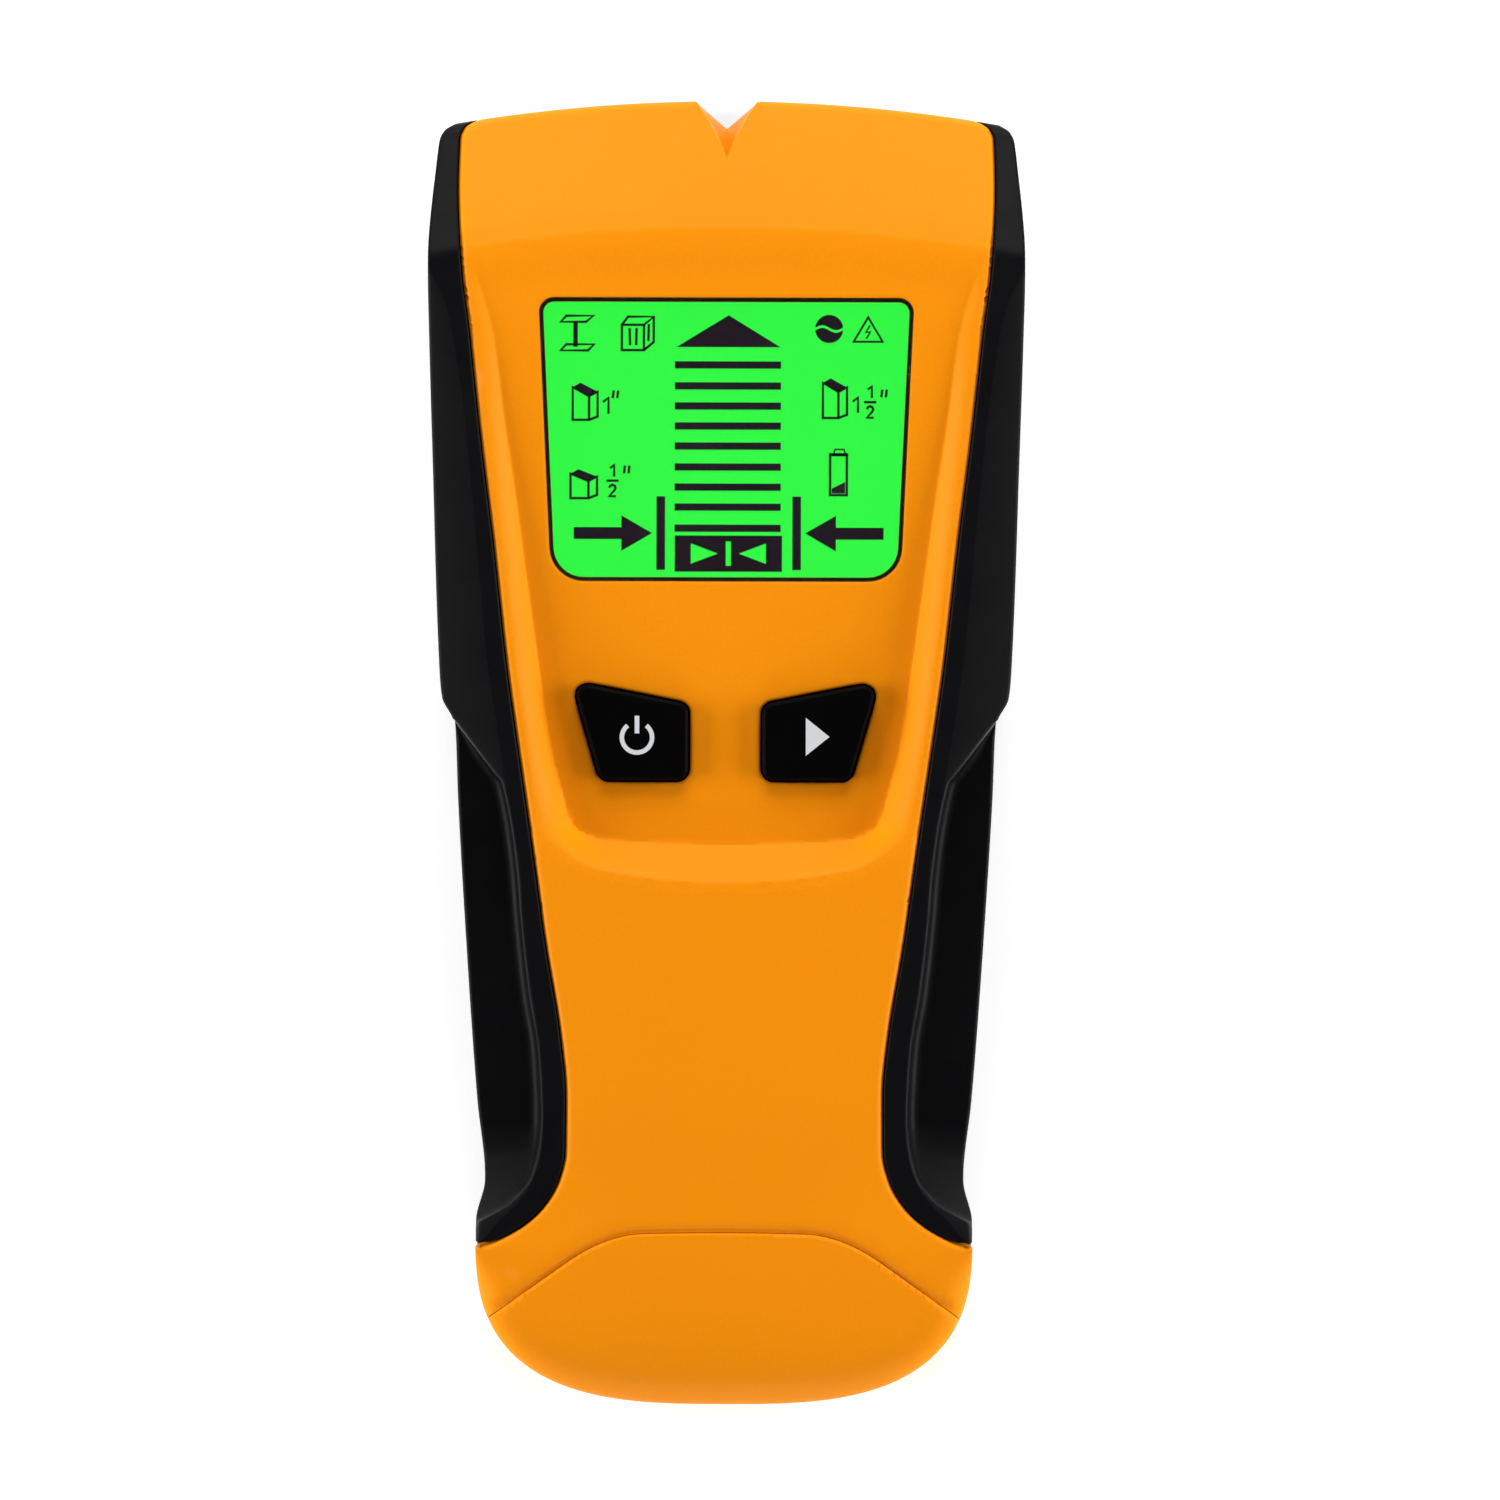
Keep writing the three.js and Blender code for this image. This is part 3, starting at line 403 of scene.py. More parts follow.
class Skin:
    """Points and faces of one closed piece, in millimetres, while it is put together."""

    def __init__(self):
        self.points = []
        self.faces = []

    def add(self, plan, z):
        """Adds a row of points at height z, which is one number or one for each."""
        start = len(self.points)
        heights = np.broadcast_to(np.asarray(z, float), (len(plan),))
        self.points += [(float(x), float(y), float(h)) for (x, y), h in zip(plan, heights)]
        return list(range(start, len(self.points)))

    def strip(self, low, high):
        """Faces between two rows of points."""
        self.faces += zip(low, low[1:], high[1:], high)

    def bridge(self, low, high):
        """Faces between two rings of points."""
        self.strip([*low, low[0]], [*high, high[0]])

    def sheet(self, loops, height, loose=(), creases=()):
        """Fills the first loop, less the others, and returns each loop's point numbers."""
        if not loose:
            loose = [(offset_loop(np.asarray(loops[0], float), -EVEN_BORDER), EVEN_BORDER / 2)]
        points, edges = [], []
        for line, closed in [(loop, True) for loop in loops] + [(line, False) for line in creases]:
            start = len(points)
            points += [tuple(p) for p in line]
            edges += [(start + i, start + i + 1) for i in range(len(line) - 1)]
            if closed:
                edges.append((len(points) - 1, start))
        points += sprinkle(points, loops, loose)
        spots = [Vector(p) for p in points]
        flat, _, triangles, origin, _, _ = delaunay_2d_cdt(spots, edges, [], 0, 1e-6)
        plan = np.array([tuple(p) for p in flat])
        number = {}
        for new, olds in enumerate(origin):
            for old in olds:
                number[old] = new
        z = height(plan[:, 0], plan[:, 1]) if callable(height) else height
        made = self.add(plan, z)
        triangles = np.array([t for t in triangles if len(t) == 3])
        middle = plan[triangles].mean(1)
        kept = inside(middle, loops[0])
        for hole in loops[1:]:
            kept &= ~inside(middle, hole)
        self.faces += [tuple(made[k] for k in t) for t in triangles[kept]]
        rows, start = [], 0
        for loop in loops:
            rows.append([made[number[start + i]] for i in range(len(loop))])
            start += len(loop)
        return rows

    def prism(self, loops, low, high):
        """A flat shape made solid between two heights."""
        top = self.sheet(loops, high)
        bottom = self.sheet(loops, low)
        for upper, lower in zip(top, bottom):
            self.bridge(lower, upper)

    def climb(self, ring, rows):
        """Bridges a ring through the outlines and heights of some rows, and returns the last ring."""
        for plan, z in rows:
            above = self.add(plan, z)
            self.bridge(ring, above)
            ring = above
        return ring

    def stack(self, rows):
        """A solid from its bottom outline up to its top one, as (outline, height) rows."""
        (foot, foot_z), *between, (top, top_z) = rows
        ring = self.climb(self.sheet([foot], foot_z)[0], between)
        self.bridge(ring, self.sheet([top], top_z)[0])

    def block(self, low, high, round_by=0.25):
        """A box with all its edges parallel to an axis, softened by a small chamfer ring."""
        (x0, y0, z0), (x1, y1, z1) = low, high
        line = box_line(x0, y0, x1, y1, round_by)
        inner = offset_loop(line, -round_by * 0.6)
        self.stack([(inner, z0), (line, z0 + round_by), (line, z1 - round_by), (inner, z1)])


def sprinkle(points, loops, loose):
    """Free points for a sheet: each set keeps spacing from what is already there."""
    taken = [tuple(p) for p in points]
    fixed = len(taken)
    for candidates, spacing in loose:
        candidates = np.asarray(candidates, float)
        good = inside(candidates, loops[0])
        for hole in loops[1:]:
            good &= ~inside(candidates, hole)
        candidates = candidates[good]
        tree = kdtree.KDTree(len(taken))
        for i, (x, y) in enumerate(taken):
            tree.insert((x, y, 0), i)
        tree.balance()
        taken += [(x, y) for x, y in candidates if tree.find((x, y, 0))[2] > spacing]
    return taken[fixed:]


def placed(name, data):
    """An object in the scene that shows a mesh, lamp or camera."""
    made = bpy.data.objects.new(name, data)
    bpy.context.scene.collection.objects.link(made)
    return made


def mesh_from(name, skin):
    mesh = bpy.data.meshes.new(name)
    mesh.from_pydata([(x * MM, y * MM, z * MM) for x, y, z in skin.points], [], skin.faces)
    return mesh


def finished(name, skin, finish, body, stands_for=(), smooth=32):
    """Makes a closed piece, and says what it rides on, what it replaces and gives it its finish."""
    mesh = mesh_from(name, skin)
    made = bmesh.new()
    made.from_mesh(mesh)
    bmesh.ops.remove_doubles(made, verts=made.verts, dist=1e-7)
    bmesh.ops.dissolve_degenerate(made, edges=made.edges, dist=1e-8)
    bmesh.ops.recalc_face_normals(made, faces=made.faces)
    made.to_mesh(mesh)
    made.free()
    mesh.shade_smooth()
    mesh.set_sharp_from_angle(angle=math.radians(smooth))
    mesh.materials.append(look[finish])
    piece = placed(name, mesh)
    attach(piece, body)
    if stands_for:
        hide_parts(*stands_for)
    return piece


# ---- materials


def feed(tree, made, inputs):
    """Sets a node's inputs, each from another node's output or a plain value."""
    for key, value in inputs.items():
        if isinstance(value, bpy.types.NodeSocket):
            tree.links.new(value, made.inputs[key])
        else:
            made.inputs[key].default_value = value
    return made


def node(tree, kind, inputs=None, **settings):
    made = tree.nodes.new(kind)
    for key, value in settings.items():
        setattr(made, key, value)
    return feed(tree, made, inputs or {})


def noise(tree, place, scale, detail=2.0):
    inputs = {"Vector": place, "Scale": scale, "Detail": detail}
    return node(tree, "ShaderNodeTexNoise", inputs).outputs["Fac"]


def remap(tree, value, low, high, to_low, to_high):
    inputs = {"Value": value, "From Min": low, "From Max": high, "To Min": to_low, "To Max": to_high}
    return node(tree, "ShaderNodeMapRange", inputs).outputs["Result"]


def mixed(tree, share, a, b):
    """Colour a where share is 0 and colour b where it is 1."""
    return node(tree, "ShaderNodeMix", data_type="RGBA", inputs={0: share, 6: a, 7: b}).outputs[2]


def shade(colour, factor):
    return (*(min(1, c * factor) for c in colour), 1)


def grain_bump(tree, height, strength, depth):
    inputs = {"Height": height, "Strength": strength, "Distance": depth * MM}
    return node(tree, "ShaderNodeBump", inputs).outputs["Normal"]


look = {}


def new_material(name):
    """A material with its node tree, its surface node and the place on the object."""
    material = bpy.data.materials.new(name)
    material.use_nodes = True
    look[name] = material
    tree = material.node_tree
    place = node(tree, "ShaderNodeTexCoord").outputs["Object"]
    return tree, tree.nodes["Principled BSDF"], place


def moulded(name, colour, rough, grain=2600, depth=0.012, spread=0.05, wear_and_highlight=0.0, specular=0.5):
    """A moulded or coated surface: uneven colour, fine grain, and paler edges, partly rubbed wear and
    partly a painted highlight of slight polish.
    """
    tree, surface, place = new_material(name)
    broad = noise(tree, place, 38, 3)
    fine = noise(tree, place, grain, 2)
    handled = noise(tree, place, 210, 4)
    base = mixed(tree, broad, shade(colour, 1 - spread), shade(colour, 1 + spread))
    base = mixed(tree, remap(tree, fine, 0.35, 0.65, 0, 0.12), base, shade(colour, 0.8))
    if wear_and_highlight:
        # convex edges are painted paler and whiter in patches: partly rubbed wear, partly a painted
        # highlight
        edge = node(tree, "ShaderNodeNewGeometry").outputs["Pointiness"]
        edge_wear_and_highlight = remap(tree, edge, 0.56, 0.7, 0, wear_and_highlight)
        patchy_wear_and_highlight = node(tree, "ShaderNodeMath", {0: edge_wear_and_highlight, 1: handled}, operation="MULTIPLY").outputs[0]
        base = mixed(tree, patchy_wear_and_highlight, base, shade([c * 0.8 + 0.2 * max(colour) for c in colour], 1.25))
    feed(tree, surface, {
        "Base Color": base,
        "Roughness": remap(tree, handled, 0.3, 0.7, rough * 0.92, rough * 1.08),
        "Normal": grain_bump(tree, fine, 0.5, depth),
        "Specular IOR Level": specular,
    })


def brushed(name, colour, rough, scale=(900, 900, 60)):
    """Metal with fine drawn lines and slight tarnish."""
    tree, surface, place = new_material(name)
    drawn = node(tree, "ShaderNodeMapping", {"Vector": place, "Scale": scale}).outputs["Vector"]
    lines = noise(tree, drawn, 3, 3)
    tarnish = remap(tree, noise(tree, place, 160, 4), 0.35, 0.7, 0, 0.5)
    feed(tree, surface, {
        "Base Color": mixed(tree, tarnish, shade(colour, 1.05), shade(colour, 0.72)),
        "Roughness": remap(tree, lines, 0.3, 0.7, rough * 0.8, rough * 1.25),
        "Normal": grain_bump(tree, lines, 0.25, 0.01),
        "Metallic": 1,
    })


def lit(name, colour, strength, spread):
    """The backlit display: brightness drifts a little across it, and it has a fine diffuser grain."""
    tree, surface, place = new_material(name)
    broad = noise(tree, place, 45, 2)
    fine = noise(tree, place, 3000, 1)
    glow = mixed(tree, broad, shade(colour, 1 - spread), shade(colour, 1 + spread))
    feed(tree, surface, {
        "Emission Color": mixed(tree, remap(tree, fine, 0.4, 0.6, 0, 0.05), glow, shade(colour, 0.8)),
        "Base Color": mixed(tree, broad, shade(colour, 0.05), shade(colour, 0.07)),
        "Roughness": remap(tree, fine, 0.3, 0.7, 0.3, 0.4),
        "Emission Strength": strength,
    })


def clear(name):
    """Clear acrylic with faint handling haze."""
    tree, surface, place = new_material(name)
    haze = noise(tree, place, 120, 4)
    feed(tree, surface, {
        "Base Color": mixed(tree, haze, (0.97, 1, 0.98, 1), (1, 1, 1, 1)),
        "Roughness": remap(tree, haze, 0.4, 0.75, 0.015, 0.06),
        "Transmission Weight": 1,
        "IOR": 1.49,
    })


ORANGE = (0.86, 0.262, 0.0022)
SOFT_BLACK = (0.007, 0.007, 0.008)
LIT_GREEN = (0.026, 0.95, 0.055)

moulded("orange_plastic", ORANGE, 0.5, spread=0.025, wear_and_highlight=0.2, specular=0.07)
moulded("black_plastic", SOFT_BLACK, 0.5, depth=0.02, wear_and_highlight=0.15, specular=0.12)
moulded("grip_rubber", (0.0024, 0.0022, 0.0029), 0.5, 1900, 0.02, 0.12, 0.1, 0.085)
moulded("key_rubber", (0.0013, 0.001, 0.001), 0.5, 2200, 0.012, 0.1, 0.1, 0.025)
moulded("white_plastic", (0.6, 0.62, 0.64), 0.45, wear_and_highlight=0.1)
moulded("circuit_board", (0.012, 0.13, 0.035), 0.35, 700, 0.02, 0.2)
moulded("component_black", (0.012, 0.012, 0.014), 0.45, 1800, 0.015, 0.15, 0.2)
moulded("lcd_segment", (0.03, 0.009, 0.03), 0.45, 2400, 0.004, 0.12, specular=0.1)
moulded("window_print", (0.004, 0.004, 0.004), 0.5, 2400, 0.004, 0.1, specular=0.2)
moulded("battery_wrap", (0.03, 0.032, 0.036), 0.3, 900, 0.01, 0.1, 0.3)
moulded("lead_red", (0.5, 0.012, 0.01), 0.4, 1500, 0.01, 0.08)
moulded("lead_black", (0.01, 0.01, 0.01), 0.4, 1500, 0.01, 0.1)
moulded("foam", (0.06, 0.06, 0.065), 0.95, 1400, 0.25, 0.3, specular=0.1)
moulded("felt", (0.16, 0.16, 0.17), 0.95, 2600, 0.12, 0.25, specular=0.1)
moulded("label", (0.55, 0.56, 0.57), 0.4, 1200, 0.006, 0.04)
brushed("tinned_metal", (0.62, 0.63, 0.64), 0.28)
brushed("screw_steel", (0.5, 0.5, 0.51), 0.32, (500, 500, 500))
brushed("copper", (0.72, 0.3, 0.14), 0.3)
lit("screen", LIT_GREEN, 1.03, 0.012)
clear("window")

# ---- the sculpted face

RIM_FILLET = 0.9  # round of the face's edges beside the grips and along the nose
END_RIM = 4.4  # width of the broader round along the round end
END_RIM_DROP = 2.6
SEAM_FILLET = 0.34  # round of the cap's edge along the seam
SEAM_BEVEL = 0.95  # the case's edge falls gently over this width
SEAM_BEVEL_DROP = 0.34
RECESS_CORNER = 0.6  # how far the recess's corners are rounded, in shares of its wall
WALL_BULGE = 1.7  # 1 gives straight side walls, and more gives walls that flatten towards their top
WALL_FOOT_SOFTNESS = 0.16
WALL_TOP_SOFTNESS = 0.3
FLANK_BLEND = 0.6  # edges lose their rounding where they dip this little below the notch's flanks

face_side = case_side(face_half, FACE_ROUND_START)
cap_edge = cap_side()
full_edge = np.vstack([face_side, cap_edge[1:-1], face_side[:1]])
end_left = face_side[(face_side[:, 1] < ROUND_START) & (face_side[:, 0] < 0)]
end_right = face_side[(face_side[:, 1] < ROUND_START) & (face_side[:, 0] > 0)]
end_edge = np.vstack([end_left, cap_edge, end_right])
on_right = (face_side[:, 0] > NOTCH_HALF_WIDTH - 0.01) & (face_side[:, 1] > FACE_ROUND_START)
side_right = face_side[on_right]
side_left = mirrored(side_right)
across = np.linspace(-32, 32, 400)
seam_whole = pairs(across, seam_y(across))


def groove(x, y):
    """Height of the marking notch's leaning flanks."""
    share = np.maximum(1 - np.abs(x) / NOTCH_HALF_WIDTH, 1e-4)
    at_nose = float(edge_height(HALF_LENGTH - NOTCH_FACE_DEPTH))
    lean = (NOTCH_FACE_DEPTH - NOTCH_DEPTH) / (at_nose - NOTCH_LEAN_START)
    height = NOTCH_LEAN_START + ((HALF_LENGTH - y) / share - NOTCH_DEPTH) / lean
    return np.where(np.abs(x) < NOTCH_HALF_WIDTH, height, 100.0)


def face_shape(x, y):
    """Height of the face before its edges are rounded."""
    v = row_of(x, y)
    half = face_half(v)
    spread = np.where(v < FACE_ROUND_START, ROUND_HALF_WIDTH, half)
    edge = edge_height(v)
    top = edge + CROWN * (1 - np.clip(np.abs(x) / spread, 0, 1) ** 2) * (1 - ease(v, *CROWN_FADE))
    floor = RECESS_FLOOR + (edge - RECESS_FLOOR) * ease(v, RECESS_TOP, CREASE)
    floor = np.minimum(floor, top)
    side, end = recess_shares(x, y, v)
    share = np.where((side > 0) & (end > 0), np.hypot(side, end), np.maximum(side, end)) - RECESS_CORNER
    bulge = 1 + (WALL_BULGE - 1) * side**2 / np.maximum(side**2 + end**2, 1e-6)
    climb = 1 - (1 - np.clip(share, 0, 1)) ** bulge
    depth = top - floor
    wall = soft_max(floor, floor + depth * np.where(share < 0, share, climb), WALL_FOOT_SOFTNESS)
    face = soft_min(top, wall, WALL_TOP_SOFTNESS)
    face = np.where(share < 1.2, face, top)
    return np.minimum(np.where(v > CREASE + 1, edge, face), groove(x, y))


def recess_shares(x, y, v):
    """How far a point has gone up the recess's side wall and its end wall, counted from inside them."""
    run = np.maximum(face_half(v) - floor_curve(v) - 0.35, 0.4)
    side = (np.abs(x) - floor_curve(v)) / run + RECESS_CORNER
    arch = (x / RECESS_ARCH) ** 2
    foot = RECESS_END + 0.8 * arch
    end_run = RECESS_END - RECESS_RIDGE - arch
    end = (foot - y) / np.maximum(end_run, 1.5) + RECESS_CORNER
    return np.maximum(side, 0), np.maximum(end, 0)


def rounded_drop(gap, width, drop):
    """How far an edge's round has fallen at a distance gap inside the edge."""
    share = 1 - np.clip(gap / width, 0, 1)
    return drop * (1 - np.sqrt(np.maximum(1 - share * share, 0)))


def face_height(x, y):
    """Height of the finished face, with its edges, seam and openings rounded."""
    points = pairs(x, y)
    v = row_of(x, y)
    to_side = np.minimum(distance(points, side_right), distance(points, side_left))
    fall = rounded_drop(to_side, RIM_FILLET, RIM_FILLET)
    fall = fall + rounded_drop(distance(points, end_edge), END_RIM, END_RIM_DROP) * ease(-v, 59.5, 66)
    to_seam = np.maximum(distance(points, seam_whole) - SEAM_HALF_GAP, 0)
    bevel = SEAM_BEVEL_DROP * (1 - ease(to_seam, 0.2, SEAM_BEVEL))
    fall = fall + np.where(y > seam_y(x), bevel, rounded_drop(to_seam, SEAM_FILLET, SEAM_FILLET))
    for loop, width in ((window_line(0.05), 0.12), (key_line(1, 0.25), 0.3), (key_line(-1, 0.25), 0.3)):
        fall = fall + rounded_drop(distance(points, np.vstack([loop, loop[:1]])), width, width)
    shape = face_shape(x, y)
    return shape - fall * ease(groove(x, y) - shape, 0, FLANK_BLEND)


def rings(line, distances, keep_from):
    """Rows of points at set distances inside a line, left out where they come near another part."""
    made = []
    n = normals(line)
    for d in distances:
        row = line + n * d
        made.append(row[distance(row, keep_from) > d * 0.96])
    return np.vstack(made)


def lattice(x0, x1, y0, y1, step_x, step_y):
    xs = np.arange(x0, x1 + 1e-6, step_x)
    ys = np.arange(y0, y1 + 1e-6, step_y)
    grid = [(x + (i % 2) * step_x / 2, y) for i, y in enumerate(ys) for x in xs]
    return np.array(grid)


def both_sides(x, y):
    return np.vstack([pairs(x, y), pairs(-x, y)])


def recess_rows():
    """Rows of points that follow the recess's side walls from the foot to the top."""
    v = np.arange(-9, 64.5, 1.2)
    foot = floor_curve(v)
    width = face_half(v) - foot
    lines = [foot + step for step in (-0.9, -0.4, -0.2, -0.08, 0, 0.08, 0.2)]
    lines += [foot + width * share for share in (0.18, 0.32, 0.46, 0.6, 0.74)]
    return np.vstack([both_sides(x, v - bow(x, v)) for x in lines])


def crease_rows():
    made = []
    for v in CREASE + np.array([-1.2, -0.6, -0.35, -0.2, -0.1, 0, 0.1, 0.2, 0.35, 0.6, 1.2]):
        x = np.arange(-32, 32.1, 1.0)
        made.append(pairs(x, v - bow(x, v)))
    return np.vstack(made)


def groove_line():
    """Where the notch's leaning flanks run out on the nose, from right to left."""
    x = np.linspace(NOTCH_HALF_WIDTH * 0.96, 0, 9)
    low = np.full_like(x, HALF_LENGTH - NOTCH_FACE_DEPTH - 1)
    high = HALF_LENGTH - NOTCH_DEPTH * (1 - x / NOTCH_HALF_WIDTH)
    for _ in range(40):
        y = (low + high) / 2
        above = groove(x, y) > edge_height(row_of(x, y))
        low, high = np.where(above, y, low), np.where(above, high, y)
    right = pairs(x, y)
    return np.vstack([right, mirrored(right)[1:]])


def inner_of(line, half_width, wall):
    """The inside of the wall for points on an outline."""
    x, y = line[:, 0], line[:, 1]
    v = row_of(x, y)
    half = np.maximum(half_width(v), 1)
    low = y < ROUND_START
    scale = np.where(low, (ROUND_HALF_WIDTH - wall) / ROUND_HALF_WIDTH, (half - wall) / half)
    shrink = (HALF_LENGTH + ROUND_START - wall) / (HALF_LENGTH + ROUND_START)
    inner_y = np.where(low, ROUND_START + (y - ROUND_START) * shrink, y - wall * ease(v, 68, 80))
    return pairs(x * scale, inner_y)


def on_seam(line, shift):
    """The same line with both its ends moved along Y on to the seam."""
    line = np.array(line)
    for i in (0, -1):
        line[i, 1] = float(seam_y(line[i, 0])) + shift
    return line


FILLET_ROWS = (0.03, 0.1, 0.2, 0.32, 0.46, 0.62, 0.78, 0.95, 1.25)
END_ROWS = (0.03, 0.1, 0.22, 0.4, 0.65, 0.95, 1.3, 1.75, 2.3, 2.9, 3.6, 4.4, 5.2)
SEAM_ROWS = (0.03, 0.08, 0.15, 0.25, 0.4, 0.6, 0.72, 0.78, 0.9)


def seam_rings(shift, sign):
    x = np.arange(-31, 31.1, 0.9)
    line = pairs(x, seam_y(x) + shift)
    return np.vstack([line + normals(line) * sign * d for d in SEAM_ROWS])


def hole_rings(loop, distances):
    n = normals(loop, closed=True)
    return np.vstack([loop - n * d for d in distances])


def mouth(loop, count):
    """The seam's stretch of a loop, from the end of its outline round to the start."""
    return [loop[count - 1], *loop[count:], loop[0]]


# how the two edges step under each other at the seam: shift along Y, and depth below the edge
CASE_STEPS = ((0, TONGUE_TOP), (-TONGUE, TONGUE_TOP), (-TONGUE, TONGUE_BOTTOM))
CAP_STEPS = (
    (0, TONGUE_TOP - 0.05), (-TONGUE - 0.25, TONGUE_TOP - 0.05), (-TONGUE - 0.25, TONGUE_BOTTOM + 0.1),
)
STEPS_FADE = (22, 26)  # the steps fade out between these distances from the centreline
# the cap's catch: two blocks by their low and high corners
CATCH = (((-5, -66, 22.8), (5, -53.5, 24.4)), ((-5, -66, 24.2), (5, -61, 25.6)))


def add_steps(skin, edge, steps):
    """Rows that step along and down from the seam's edge, and fade out towards its two ends."""
    previous = edge
    for shift, depth in steps:
        row = len(skin.points)
        for index in edge:
            x, y, z = skin.points[index]
            share = 1 - float(ease(abs(x), *STEPS_FADE))
            skin.points.append((x, y + shift * share, z - depth * share))
        row = list(range(row, len(skin.points)))
        skin.strip(row, previous)
        previous = row
    return previous


def make_front_cover():
    skin = Skin()
    count = len(face_side)
    window, keys = window_line(0.05), [key_line(1, 0.25), key_line(-1, 0.25)]
    rim_rows = rings(side_right, FILLET_ROWS, full_edge)
    key_rows = [hole_rings(line, (0.05, 0.15, 0.3, 0.7)) for line in keys]
    loose = [
        (np.vstack([rim_rows, mirrored(rim_rows)]), 0.02),
        (rings(end_edge, END_ROWS, full_edge), 0.02),
        (seam_rings(SEAM_HALF_GAP, 1), 0.02),
        (np.vstack([hole_rings(window, (0.04, 0.12, 0.5)), *key_rows]), 0.02),
        (crease_rows(), 0.08),
        (recess_rows(), 0.08),
        (lattice(-24.4, 24.4, -18.6, -9.4, 0.55, 0.4), 0.18),
        (lattice(-34, 34, -72, 79.5, 1.5, 1.5), 0.7),
    ]
    flanks = groove_line()
    valley = np.array([[0, HALF_LENGTH - NOTCH_DEPTH], flanks[len(flanks) // 2]])
    outer = closed_by_seam(face_side, SEAM_HALF_GAP)
    top = skin.sheet([outer, window, *keys], face_height, loose, [flanks, valley])
    inner_side = on_seam(inner_of(face_side, face_half, WALL), SEAM_HALF_GAP)
    inner = closed_by_seam(inner_side, SEAM_HALF_GAP)
    ledge_line = window_line(-0.5)
    spread = [(lattice(-32, 32, -70, 76, 3, 3), 1.2)]
    under = skin.sheet([inner, ledge_line, *keys], lambda x, y: face_shape(x, y) - WALL, spread)
    rim = skin.add(face_side, FRONT_RIM)
    inner_rim = skin.add(inner_side, FRONT_RIM)
    skin.strip(rim, top[0][:count])
    skin.strip(inner_rim, rim)
    skin.strip(under[0][:count], inner_rim)
    last = add_steps(skin, mouth(top[0], count), CASE_STEPS)
    skin.strip(last, mouth(under[0], count))
    for i in (0, count - 1):
        skin.faces.append((top[0][i], rim[i], inner_rim[i], under[0][i]))
    seat = skin.add(window, WINDOW_BACK - 0.3)
    ledge = skin.add(ledge_line, WINDOW_BACK - 0.3)
    skin.bridge(top[1], seat)
    skin.bridge(seat, ledge)
    skin.bridge(ledge, under[1])
    for above, below in zip(top[2:], under[2:]):
        skin.bridge(above, below)
    finished("front_cover", skin, "orange_plastic", "case", ["front_shell"])


def down_to_back(skin, top, outline, shift, openings=(), weight=1.0):
    """Takes a wall's top row down round the lower edge to the back, which it fills.

    Returns all the wall's rows, and the loops of the back.
    """
    rows = []
    for angle in np.radians(np.linspace(0, 90, 7)):
        inset = BACK_ROUND * (1 - math.cos(angle))
        row = outline + normals(outline) * np.reshape(weight, (-1, 1)) * inset
        rows.append((on_seam(row, shift), BACK + BACK_ROUND * (1 - math.sin(angle))))
    *rows, (last, low) = rows
    count = len(outline)
    chain = [top]
    for row, z in rows:
        chain.append(skin.add(row, z))
        skin.strip(chain[-1], chain[-2][:count])
    back = skin.sheet([closed_by_seam(last, shift), *openings], low)
    skin.strip(back[0][:count], chain[-1])
    return [*chain, back[0]], back


def make_battery_cover():
    skin = Skin()
    count = len(cap_edge)
    shift = -SEAM_HALF_GAP
    loose = [
        (rings(cap_edge, END_ROWS, full_edge), 0.02),
        (seam_rings(shift, -1), 0.02),
        (lattice(-31, 31, -79, -58, 1.5, 1.5), 0.7),
    ]
    top = skin.sheet([closed_by_seam(cap_edge, shift)], face_height, loose)[0]
    chain, (bottom,) = down_to_back(skin, top, cap_edge, shift)
    inner = closed_by_seam(on_seam(inner_of(cap_edge, face_half, CAP_WALL), shift), shift)
    spread = [(lattice(-30, 30, -78, -58, 3, 3), 1.2)]
    roof = skin.sheet([inner], lambda x, y: face_shape(x, y) - CAP_WALL, spread)[0]
    ground = skin.sheet([inner], BACK + CAP_WALL)[0]
    skin.strip(roof[:count], ground[:count])
    last = add_steps(skin, mouth(top, count), CAP_STEPS)
    skin.strip(last, mouth(roof, count))
    skin.strip(mouth(ground, count), mouth(bottom, count))
    for i in (0, count - 1):
        skin.faces.append((*(ring[i] for ring in chain), ground[i], roof[i]))
    for low, high in CATCH:
        skin.block(low, high, 0.5)
    finished("battery_cover", skin, "orange_plastic", "end_cap", ["battery_cap"])


SLOTS = (-6, -3, 0, 3, 6)  # the sounder's slots, by their middles
SLOT_WIDTH = 1.2
SLOT_LOW = 3
SLOT_HIGH = 13
SLOT_ROUND = 0.5
RIM_CHAMFER = 0.25
SCREW_MOUTH = 3.15  # radius of a screw's counterbore at the back
POST_RADIUS = 4
POST = (  # radius and height of a post's rings, over its top and down its bore
    (POST_RADIUS, 8.6), (3.6, 9), (1.55, 9), (1.55, 6.8), (2.9, 6.8), (2.9, 1.05),
)
BAY_HALF = 13.6  # half width of the battery's bay


def slot_line(x, grow):
    """One of the sounder's slots, cut through the back."""
    half = SLOT_WIDTH / 2
    return offset_loop(box_line(x - half, SLOT_LOW, x + half, SLOT_HIGH, SLOT_ROUND), grow)


